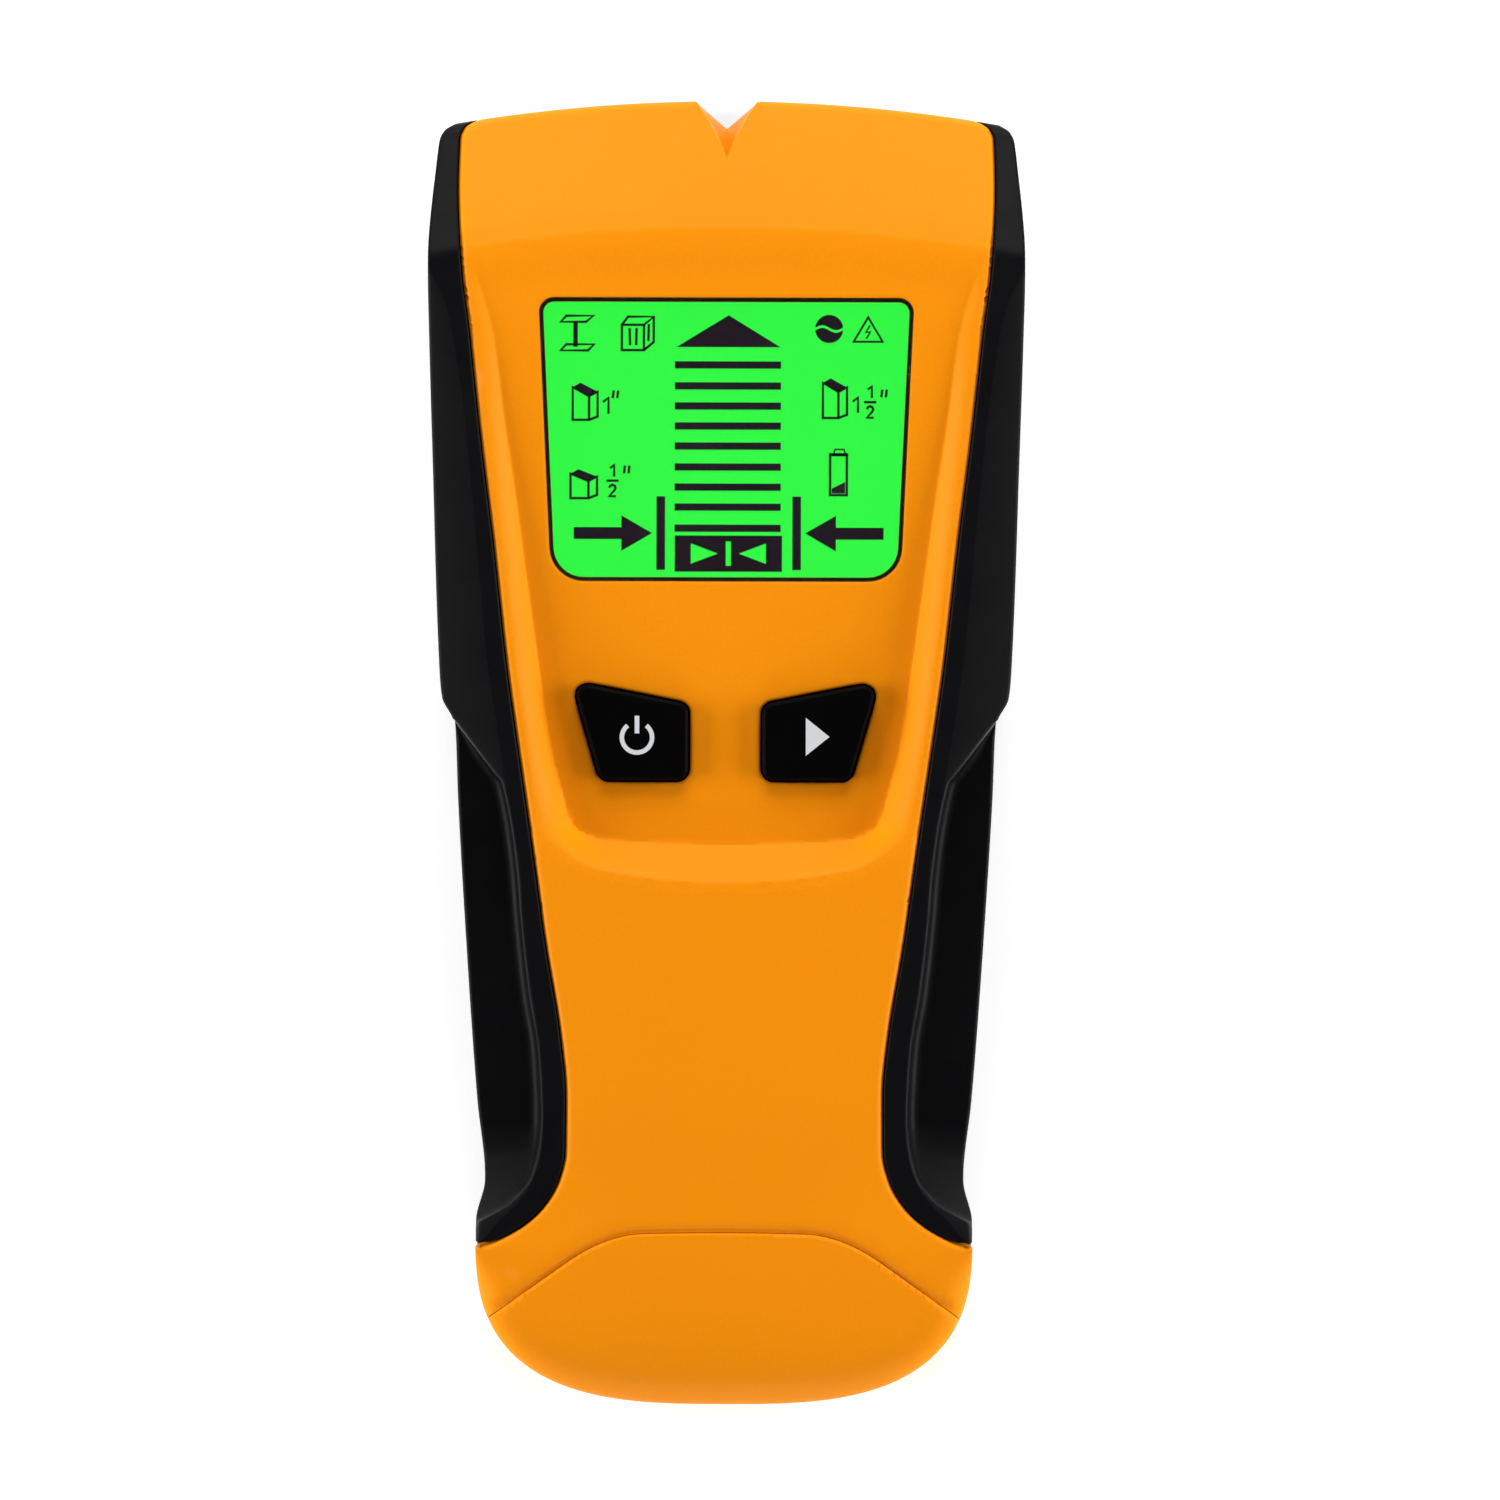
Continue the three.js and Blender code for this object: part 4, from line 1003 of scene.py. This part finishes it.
def make_rear_case():
    """The black rear tray: posts for the screws with counterbores from the back, and sound slots."""
    skin = Skin()
    shift = SEAM_HALF_GAP
    outline = case_side(body_half, ROUND_START)
    count = len(outline)
    near_nose = outline[:, 1] > 70
    weight = np.where(near_nose, ease(np.abs(outline[:, 0]), NOTCH_HALF_WIDTH, 7), 1)
    rim = skin.add(outline, REAR_RIM - RIM_CHAMFER)
    mouths = [circle(x, y, SCREW_MOUTH) for x, y in CASE_SCREWS] + [slot_line(x, 0.2) for x in SLOTS]
    chain, back = down_to_back(skin, rim, outline, shift, mouths, weight)
    inner_side = on_seam(inner_of(outline, body_half, WALL), shift)
    feet = [circle(x, y, POST_RADIUS) for x, y in CASE_SCREWS] + [slot_line(x, 0) for x in SLOTS]
    ground = skin.sheet([closed_by_seam(inner_side, shift), *feet], BACK + WALL)
    edge = outline + normals(outline) * RIM_CHAMFER * np.reshape(weight, (-1, 1))
    lip = skin.add(on_seam(edge, shift), REAR_RIM)
    inner_lip = skin.add(inner_side, REAR_RIM)
    skin.strip(rim, lip)
    skin.strip(lip, inner_lip)
    skin.strip(inner_lip, ground[0][:count])
    skin.strip(mouth(ground[0], count), mouth(back[0], count))
    for i in (0, count - 1):
        skin.faces.append((inner_lip[i], lip[i], *(ring[i] for ring in chain), ground[0][i]))
    for (x, y), foot, opening in zip(CASE_SCREWS, ground[1:], back[1:]):
        ring = skin.climb(foot, [(circle(x, y, radius), z) for radius, z in POST])
        skin.bridge(ring, opening)
    first_slot = 1 + len(CASE_SCREWS)
    for x, foot, opening in zip(SLOTS, ground[first_slot:], back[first_slot:]):
        skin.bridge(skin.climb(foot, [(slot_line(x, 0), 1.05)]), opening)
    for side in (-1, 1):
        low, high = sorted((side * BAY_HALF, side * (BAY_HALF + 1.4)))
        skin.block((low, -57, BACK + 1), (high, -21, 11), 0.4)
    skin.block((-14.2, -18.4, BACK + 1), (14.2, -16.9, 8.8), 0.4)
    finished("rear_case", skin, "black_plastic", "case", ["rear_shell"])


make_front_cover()
make_battery_cover()
make_rear_case()

# ---- grips

GRIP_GAP = 0.1
GRIP_DROP = 0.08  # the grips stand this far below the edge of the face
FACET_SLOPE = 0.3  # fall of the broad facet outside the flat inner band
SCOOP_FLOOR = 14.7
SCOOP_RISE = 2.8  # the scoop's floor rises this much along the handle
RAMP_END = 58.6  # it then climbs towards the ridge, and is highest this far below the origin
RAMP_DROP = 1.1  # it stops this far below the ridge


def bend_corners(corners, radii, steps=4):
    """An open line through corners with a round at each inner one; always the same number of points."""
    made = [corners[0]]
    for before, here, after, radius in zip(corners, corners[1:], corners[2:], radii):
        back, on = np.subtract(before, here), np.subtract(after, here)
        back_length, on_length = np.hypot(*back), np.hypot(*on)
        cosine = np.clip(np.dot(back, on) / max(back_length * on_length, 1e-9), -1, 1)
        turn = math.pi - math.acos(cosine)
        reach = min(radius * math.tan(turn / 2), 0.45 * back_length, 0.45 * on_length)
        start = here + back / max(back_length, 1e-9) * reach
        end = here + on / max(on_length, 1e-9) * reach
        for t in np.linspace(0, 1, steps + 1):
            made.append((1 - t) ** 2 * start + 2 * t * (1 - t) * np.array(here) + t * t * end)
    made.append(corners[-1])
    return [tuple(map(float, point)) for point in made]


def grip_section(v):
    """The grip's section at row v, as (x, z) from its inner foot over the top to its outer foot."""
    slope = float(face_half(v + 0.1) - face_half(v - 0.1)) / 0.2
    inner = float(face_half(v)) + GRIP_GAP * math.hypot(1, slope)
    body = float(body_half(v)) - 0.03
    high = body if v > 3.9 else min(float(ridge_curve(v)), body)
    high = max(high, inner + 0.5)
    body = max(body, high + 0.02)
    room = high - inner
    edge = float(edge_height(v)) - GRIP_DROP - float(rounded_drop(HALF_LENGTH - v, 1.2, 1.2))
    crest = inner + min(float(band_curve(v)), room - 0.3)
    outer = edge - FACET_SLOPE * (high - crest)
    target = outer - RAMP_DROP
    floor = SCOOP_FLOOR + SCOOP_RISE * float(ease(-v, 8, 46))
    share = [min(1, max(0, (-v - start) / (RAMP_END - start))) for start in (46, 50.5)]
    foot_ramp, rim_ramp = (floor + (target - floor) * (0.5 * t + 0.5 * t * t) for t in share)
    corners = [
        (inner, FRONT_RIM), (inner, edge), (crest, edge), (high, outer),
        (min(high + 0.4, body), foot_ramp), (body + 0.001, rim_ramp), (body + 0.002, FRONT_RIM),
    ]
    return bend_corners(corners, (0.35, 0.6, 0.5, 1.4, 0.5))


def grip_rows():
    """The stations of the grip's sections: close together where the grip changes fast."""
    spans = (
        (-59.95, -53, 0.2), (-53, -44, 0.4), (-44, -5, 1.2), (-5, 10, 0.3), (10, 61, 1.5), (61, 68, 0.4),
        (68, 77.5, 1.4), (77.5, HALF_LENGTH, 0.14),
    )
    rows = [np.linspace(a, b, max(2, round((b - a) / step)), endpoint=False) for a, b, step in spans]
    return np.append(np.concatenate(rows), HALF_LENGTH - 0.02)


def make_grip(name, side):
    skin = Skin()
    rows = []
    for v in grip_rows():
        section = grip_section(v)
        plan = [(side * x, v - float(bow(x, v))) for x, _ in section]
        rows.append(skin.add(plan, [z for _, z in section]))
    for low, high in zip(rows, rows[1:]):
        skin.bridge(low, high)
    skin.faces += [tuple(rows[0]), tuple(reversed(rows[-1]))]
    finished(f"side_grip_{name}", skin, "grip_rubber", "case", [f"grip_{name}"], 40)


make_grip("left", -1)
make_grip("right", 1)

# ---- window and display

SCREEN_TOP = 22.7
LINE = 0.3  # width of the display's thin strokes
SMALL_DIGIT = 1.45  # height of a digit in a fraction


def make_window():
    skin = Skin()
    line = window_line(-0.02)
    bottom = skin.sheet([line], WINDOW_BACK)[0]
    side = skin.add(line, WINDOW_FRONT - 0.1)
    top = skin.sheet([window_line(-0.12)], WINDOW_FRONT)[0]
    skin.bridge(bottom, side)
    skin.bridge(side, top)
    finished("clear_window", skin, "window", "case", ["display_window"])


def make_border():
    skin = Skin()
    skin.prism([window_line(-0.02), window_line(-0.46)], WINDOW_BACK - 0.08, WINDOW_BACK - 0.01)
    finished("window_border", skin, "window_print", "case")


def make_screen():
    skin = Skin()
    skin.block((-22.6, 18.6, 20.9), (22.6, 57.6, SCREEN_TOP), 0.2)
    finished("lit_screen", skin, "screen", "case", ["lcd_panel"])


def ribbon(line, closed=False, width=LINE):
    """A stroke of even width along a line, as the loops of a prism."""
    line = np.asarray(line, float)
    n = normals(line, closed) * width / 2
    if closed:
        area = sum(x0 * y1 - x1 * y0 for (x0, y0), (x1, y1) in zip(line, np.roll(line, -1, 0)))
        loops = [line - n, line + n]
        return loops if area > 0 else loops[::-1]
    return [np.vstack([line - n, (line + n)[::-1]])]


def arc(x, y, radius, start, end, count=24):
    angle = np.radians(np.linspace(start, end, count))
    return pairs(x + radius * np.cos(angle), y + radius * np.sin(angle))


def slab(x0, y0, x1, y1):
    return [np.array([(x0, y0), (x1, y0), (x1, y1), (x0, y1)])]


def digit(which, x, y, height):
    """The strokes of a 1 or a 2, with its lower left corner at (x, y)."""
    shapes = {
        1: [(0.0, 0.72), (0.34, 0.97), (0.34, 0)],
        2: [(0.02, 0.74), (0.1, 0.92), (0.28, 1), (0.46, 0.92), (0.54, 0.74), (0.46, 0.54), (0.02, 0.03),
            (0.58, 0.03)],
    }
    return ribbon([(x + u * height, y + w * height) for u, w in shapes[which]])


def inch_mark(x, y):
    return [ribbon([(x + k * 0.55 + 0.12, y + 0.95), (x + k * 0.55, y)]) for k in (0, 1)]


def half_sign(x, y):
    """A small fraction one half, its bar centred on (x, y)."""
    bar = ribbon([(x - 0.75, y), (x + 0.75, y)])
    return [bar, digit(1, x - 0.3, y + 0.5, SMALL_DIGIT), digit(2, x - 0.42, y - 1.95, SMALL_DIGIT)]


def stud_block(x, y, width, height, lean):
    """A stud seen at an angle: its face, its side, and a filled top that slopes away."""
    face = [(x, y), (x + width, y), (x + width, y + height - lean), (x, y + height)]
    side = [(x + width, y), (x + width + 1.05, y + 0.4), (x + width + 1.05, y + height - lean + 0.55)]
    top = [(x, y + height), (x + width, y + height - lean), (x + width + 1.05, y + height - lean + 0.55),
           (x + 0.95, y + height + 0.55)]
    return [ribbon(face, True), ribbon([*side, face[2]]), [np.array(top)]]


def wave_disc(x, y, radius):
    """A filled disc split in two by a wave."""
    u = np.linspace(-1, 1, 21)
    halves = []
    for side in (1, -1):
        angle = np.radians(np.linspace(9, 171, 30)) * side
        rim = pairs(x + radius * np.cos(angle), y + radius * np.sin(angle))
        wave = y - 0.3 * np.sin(u * math.pi) + side * 0.16
        loop = np.vstack([rim, pairs(x + u * radius * 0.97, wave)])
        halves.append([loop if side > 0 else loop[::-1]])
    return halves


def level_bars():
    """The arrow head, the column of bars below it and the dark block at its foot."""
    shapes = [[np.array([(-6.1, 49.6), (6.65, 49.6), (0.3, 53.5)])]]
    for top in (47.85, 45.28, 42.82, 40.37, 37.91, 35.34, 32.88, 30.43, 27.85):
        shapes.append(slab(-6.29, top - 0.88, 6.71, top))
    shapes.append(slab(-6.26, 22.09, 6.88, 26.5))
    return shapes


def edge_arrows():
    """Two upright lines, and an arrow that points at each from outside."""
    tail, neck, tip = -18.64, -12.8, -9.05
    arrow = np.array([
        (tail, 26.05), (neck, 26.05), (neck, 24.6), (tip, 26.8), (neck, 28.96), (neck, 27.5),
        (tail, 27.5),
    ])
    lines = [slab(-8.5, 22.3, -7.45, 31.3), slab(8.15, 22.3, 9.2, 31.3)]
    return [*lines, [arrow], [arrow[::-1] * [-1, 1] + [0.68, 0]]]


def beam_sign():
    top = [(-20.3, 52.65), (-17.2, 52.65), (-16.3, 53.4), (-19.6, 53.4)]
    foot = [(-20.3, 49.15), (-16.95, 49.15), (-16.2, 49.9), (-19.6, 49.9)]
    return [ribbon(top, True), ribbon(foot, True), slab(-18.75, 49.6, -18.2, 52.6)]


def cube_sign():
    face = [(-12.8, 49.2), (-10.1, 49.2), (-10.1, 52.3), (-12.8, 52.3)]
    strokes = (
        [(-12.8, 52.3), (-12.05, 53.3), (-8.9, 53.3), (-10.1, 52.3)],
        [(-10.1, 49.2), (-8.9, 50.2), (-8.9, 53.3)],
        [(-9.55, 50.3), (-9.5, 52.4)],
        [(-11.8, 49.8), (-11.85, 51.9)],
        [(-11.05, 49.8), (-11.0, 51.9)],
    )
    return [ribbon(face, True), *(ribbon(stroke) for stroke in strokes)]


def depth_signs():
    """Studs at three depths, with their depths in inches."""
    shapes = stud_block(-18.8, 40.65, 2.0, 4.0, 1.1) + [digit(1, -15.1, 41.4, 2.0)]
    shapes += inch_mark(-13.9, 43.3)
    shapes += stud_block(-19.05, 31.05, 2.2, 3.0, 0.9) + half_sign(-13.9, 33.2) + inch_mark(-12.5, 34.1)
    shapes += stud_block(11.85, 40.95, 1.9, 4.3, 1.1) + [digit(1, 15.5, 41.6, 1.9)]
    return shapes + half_sign(17.65, 42.9) + inch_mark(19.0, 43.5)


def live_wire_sign():
    triangle = ribbon([(15.6, 50.3), (19.15, 50.3), (17.37, 53.3)], True)
    bolt = ribbon([(17.6, 52.3), (17.1, 51.45), (17.62, 51.5), (17.15, 50.65)], width=0.22)
    return [triangle, bolt]


def battery_sign():
    body = [(12.75, 31.5), (14.8, 31.5), (14.8, 36.5), (12.75, 36.5)]
    nub = [(13.2, 36.6), (13.35, 37.1), (14.45, 37.1), (14.6, 36.6)]
    charge = np.array([(12.95, 31.7), (14.6, 31.7), (14.6, 33.1), (12.95, 32.3)])
    return [ribbon(body, True), slab(12.62, 36.25, 14.98, 36.62), ribbon(nub, width=0.18), [charge]]


def make_symbols():
    """Everything the display shows in dark segments."""
    shapes = level_bars() + edge_arrows() + beam_sign() + cube_sign() + depth_signs()
    shapes += wave_disc(12.6, 51.85, 1.72) + live_wire_sign() + battery_sign()
    skin = Skin()
    for loops in shapes:
        skin.prism(loops, SCREEN_TOP + 0.01, SCREEN_TOP + 0.06)
    finished("display_segments", skin, "lcd_segment", "case")


def make_centre_mark():
    """A plain sign for the middle in the lowest block: two heads that meet at a line."""
    skin = Skin()
    x, y = 0.31, 24.3
    for side in (-1, 1):
        head = np.array([(x + side * 4.6, y - 1.25), (x + side * 1.3, y), (x + side * 4.6, y + 1.25)])
        skin.prism([head if side < 0 else head[::-1]], SCREEN_TOP + 0.07, SCREEN_TOP + 0.11)
    skin.prism(slab(x - 0.32, y - 1.5, x + 0.32, y + 1.5), SCREEN_TOP + 0.07, SCREEN_TOP + 0.11)
    finished("display_centre_mark", skin, "screen", "case")


make_window()
make_border()
make_screen()
make_symbols()
make_centre_mark()

# ---- keys

KEY_FLANGE = 1.0
KEY_FLANGE_T = 0.8
KEY_FILLET = 0.55


def make_key(name, side):
    skin = Skin()
    rows = [(KEY_FLANGE, KEY_BOTTOM - KEY_FLANGE_T), (KEY_FLANGE, KEY_BOTTOM), (0, KEY_BOTTOM)]
    for angle in np.radians(np.linspace(0, 90, 6)):
        rows.append((-KEY_FILLET * (1 - math.cos(angle)), KEY_TOP - KEY_FILLET * (1 - math.sin(angle))))
    skin.stack([(key_line(side, grow), z) for grow, z in rows])
    finished(f"{name}_keycap", skin, "key_rubber", f"{name}_key", [f"{name}_button"])


def make_key_marks():
    """A plain power sign on the left key and a solid arrow head on the right one."""
    low, high = KEY_TOP - 0.02, KEY_TOP + 0.04
    power = Skin()
    x, y = -10.8, 1.75
    power.prism(ribbon(arc(x, y, 1.85, 128, 412, 36), width=0.55), low, high)
    power.prism(slab(x - 0.28, y + 0.5, x + 0.28, y + 2.65), low, high)
    finished("power_mark", power, "white_plastic", "power_key")
    head = Skin()
    head.prism([np.array([(9.85, -0.45), (12.75, 1.88), (9.85, 4.2)])], low, high)
    finished("mode_mark", head, "white_plastic", "mode_key")


make_key("power", -1)
make_key("mode", 1)
make_key_marks()

# ---- back of the case


PAD_REACH = 7
PAD_HALF = 3
PAD_ROUND = 2.9


def make_pad(index, x, y):
    skin = Skin()
    line = box_line(x - PAD_REACH, y - PAD_HALF, x + PAD_REACH, y + PAD_HALF, PAD_ROUND)
    rows = ((-0.3, 0), (-0.09, 0.09), (0, 0.3), (0, BACK), (-0.1, BACK + 0.01))
    skin.stack([(offset_loop(line, grow), z) for grow, z in rows])
    finished(f"felt_pad_{index}", skin, "felt", "case", [f"glide_pad_{index}"])


def make_label():
    skin = Skin()
    line = box_line(-14, -45, 14, -23, 1.5)
    rows = ((-0.08, 0.5), (0, 0.56), (0, BACK - 0.01), (-0.1, BACK))
    skin.stack([(offset_loop(line, grow), z) for grow, z in rows])
    finished("blank_label", skin, "label", "case", ["rear_label"])


def cross_line(x, y, reach, half):
    """The outline of a cross recess."""
    corner = [(reach, -half), (reach, half), (half, half)]
    points = []
    for quarter in range(4):
        c, s = (1, 0, -1, 0)[quarter], (0, 1, 0, -1)[quarter]
        points += [(x + u * c - w * s, y + u * s + w * c) for u, w in corner]
    return np.array(points)


def make_screw(index, x, y):
    """A pan-head screw that points up into the case, with a tapered cross recess."""
    skin = Skin()
    head, recess = 2.35, cross_line(x, y, 1.35, 0.32)
    rows = ((2.05, 5.02), (2.27, 5.3), (head, 5.7), (head, 6.5), (1.2, 6.5), (1.2, 15.6), (0.5, 16.5))
    face = skin.sheet([circle(x, y, 1.7), recess], 4.9)
    ring = skin.climb(face[0], [(circle(x, y, radius), z) for radius, z in rows])
    skin.bridge(ring, skin.sheet([circle(x, y, 0.2)], 16.6)[0])
    skin.bridge(face[1], skin.sheet([cross_line(x, y, 0.9, 0.2)], 6.0)[0])
    finished(f"cover_screw_{index}", skin, "screw_steel", "case", [f"case_screw_{index}"])


for number, (pad_x, pad_y) in enumerate(PADS, 1):
    make_pad(number, pad_x, pad_y)
for number, (screw_x, screw_y) in enumerate(CASE_SCREWS, 1):
    make_screw(number, screw_x, screw_y)
make_label()

# ---- battery, foam and the rest inside


def battery_tube(box, stations):
    """A closed tube along the battery, whose section is drawn in by an inset at each station."""
    (x0, _, z0), (x1, _, z1) = box
    outline = box_line(x0, z0, x1, z1, 1.6)
    skin = Skin()
    sections = []
    for inset, y in stations:
        start = len(skin.points)
        skin.points += [(float(x), float(y), float(z)) for x, z in offset_loop(outline, -inset - 0.01)]
        sections.append(list(range(start, len(skin.points))))
    for a, b in zip(sections, sections[1:]):
        skin.bridge(a, b)
    skin.faces += [tuple(sections[0]), tuple(reversed(sections[-1]))]
    return skin


def make_battery():
    """A nine-volt block: a wrapped can with a bare crimped rim at each end."""
    box = [Vector(corner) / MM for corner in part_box("battery_case")]
    low, high = box[0][1], box[1][1]
    rim = [(0.5, 0), (0.06, 0.25), (0, 0.6), (0, 1.3), (0.28, 1.6), (0.28, 1.9)]
    turn_in = [(0.28, 1.92), (0.08, 2.2)]
    ends = {
        "battery_rim_inner": [(inset, high - along) for inset, along in rim],
        "battery_rim_outer": [(inset, low + along) for inset, along in rim],
    }
    for name, stations in ends.items():
        finished(name, battery_tube(box, stations), "tinned_metal", "case")
    can = [(inset, low + along) for inset, along in turn_in]
    can += [(inset, high - along) for inset, along in reversed(turn_in)]
    finished("battery_block", battery_tube(box, can), "battery_wrap", "case", ["battery_case"])


def make_foam():
    low, high = (Vector(c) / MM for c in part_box("battery_foam"))
    skin = Skin()
    skin.block(tuple(low), tuple(high), 0.8)
    pad = finished("foam_pad", skin, "foam", "case", ["battery_foam"])


make_battery()
make_foam()

kept = {
    "black_plastic": ("lcd_frame", "snap_plate"),
    "white_plastic": (
        "backlight_plate", "backlight_led_left", "backlight_led_right", "power_switch_plunger",
        "mode_switch_plunger", "trimmer", "coil_bobbin",
    ),
    "component_black": (
        "lcd_connector_upper", "lcd_connector_lower", "power_switch_body", "mode_switch_body",
        "controller_chip", "capacitor", "sensor_chip", "board_link", "buzzer",
    ),
    "circuit_board": ("main_board", "sensor_board"),
    "tinned_metal": (
        "crystal", "battery_stud", "battery_socket", "snap_stud_contact", "snap_socket_contact",
    ),
    "copper": ("sensor_plate_left", "sensor_plate_centre", "sensor_plate_right", "search_coil"),
    "screw_steel": tuple(f"board_screw_{k}" for k in range(1, 5)),
    "lead_red": ("red_lead",),
    "lead_black": ("black_lead",),
}
for finish_name, names in kept.items():
    for cad_name in names:
        cad_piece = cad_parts[cad_name]
        for held in cad_piece.material_slots:
            held.material = look[finish_name]
        if not cad_piece.material_slots:
            cad_piece.data.materials.append(look[finish_name])

# ---- camera, floor and lights

FRAME_WIDTH = 184.05  # millimetres across the picture at the level of the face
CAMERA_DISTANCE = 2000.0
CAMERA_AT = (3.03, 0.25)
CAMERA_ROLL = 0.154  # degrees
FACE_LEVEL = 20.0


def make_camera():
    data = bpy.data.cameras.new("camera")
    data.sensor_width = 36
    data.lens = 36 * CAMERA_DISTANCE / FRAME_WIDTH
    data.clip_end = 20
    camera = placed("camera", data)
    camera.location = (CAMERA_AT[0] * MM, CAMERA_AT[1] * MM, (FACE_LEVEL + CAMERA_DISTANCE) * MM)
    camera.rotation_euler = (0, 0, math.radians(CAMERA_ROLL))
    bpy.context.scene.camera = camera


FLOOR_RADIUS = 2500
FLOOR_GLOW = 0.47  # a little light of its own, as a studio's lit sheet has


def make_floor():
    skin = Skin()
    skin.sheet([circle(0, 0, FLOOR_RADIUS, 96)], 0.0)
    floor = placed("floor", mesh_from("floor", skin))
    tree, surface, place = new_material("floor")
    feed(tree, surface, {
        "Base Color": mixed(tree, noise(tree, place, 5, 2), (0.8, 0.8, 0.8, 1), (0.84, 0.84, 0.84, 1)),
        "Roughness": 0.9,
        "Specular IOR Level": 0.1,
        "Emission Color": (1, 1, 1, 1),
        "Emission Strength": FLOOR_GLOW,
    })
    floor.data.materials.append(look["floor"])


LAMP_REACH = 0.8  # metres from the object to each lamp
LAMPS = {  # azimuth (0 is towards +X, 90 towards +Y), elevation, width and height in metres, watts
    "right": (0, 18, 0.6, 0.3, 7.3),
    "left": (180, 18, 0.6, 0.3, 7.3),
    "top": (90, 26, 0.7, 0.35, 6.2),
    "bottom": (270, 16, 0.7, 0.3, 3.0),
}


def softbox(name, azimuth, elevation, width, height, power):
    """A broad lamp that faces the object and is out of the camera's sight."""
    data = bpy.data.lights.new(name, "AREA")
    data.shape = "RECTANGLE"
    data.size, data.size_y = width, height
    data.energy = power
    lamp = placed(name, data)
    a, e = math.radians(azimuth), math.radians(elevation)
    towards = Vector((math.cos(a) * math.cos(e), math.sin(a) * math.cos(e), math.sin(e)))
    lamp.location = towards * LAMP_REACH
    lamp.rotation_euler = lamp.location.to_track_quat("Z", "Y").to_euler()
    lamp.visible_camera = False


WORLD_LIGHT = 0.05  # faint light from all round
WORLD_SEEN = 0.52  # what the camera sees above the floor's far edge: as pale as the floor is there


def make_light():
    world = bpy.data.worlds.new("world")
    world.use_nodes = True
    background = world.node_tree.nodes["Background"]
    background.inputs["Color"].default_value = (1, 1, 1, 1)
    seen = node(world.node_tree, "ShaderNodeLightPath").outputs["Is Camera Ray"]
    strength = remap(world.node_tree, seen, 0, 1, WORLD_LIGHT, WORLD_SEEN)
    world.node_tree.links.new(strength, background.inputs["Strength"])
    bpy.context.scene.world = world
    for name, settings in LAMPS.items():
        softbox(name, *settings)
    bpy.context.scene.view_settings.view_transform = "Standard"


make_camera()
make_floor()
make_light()
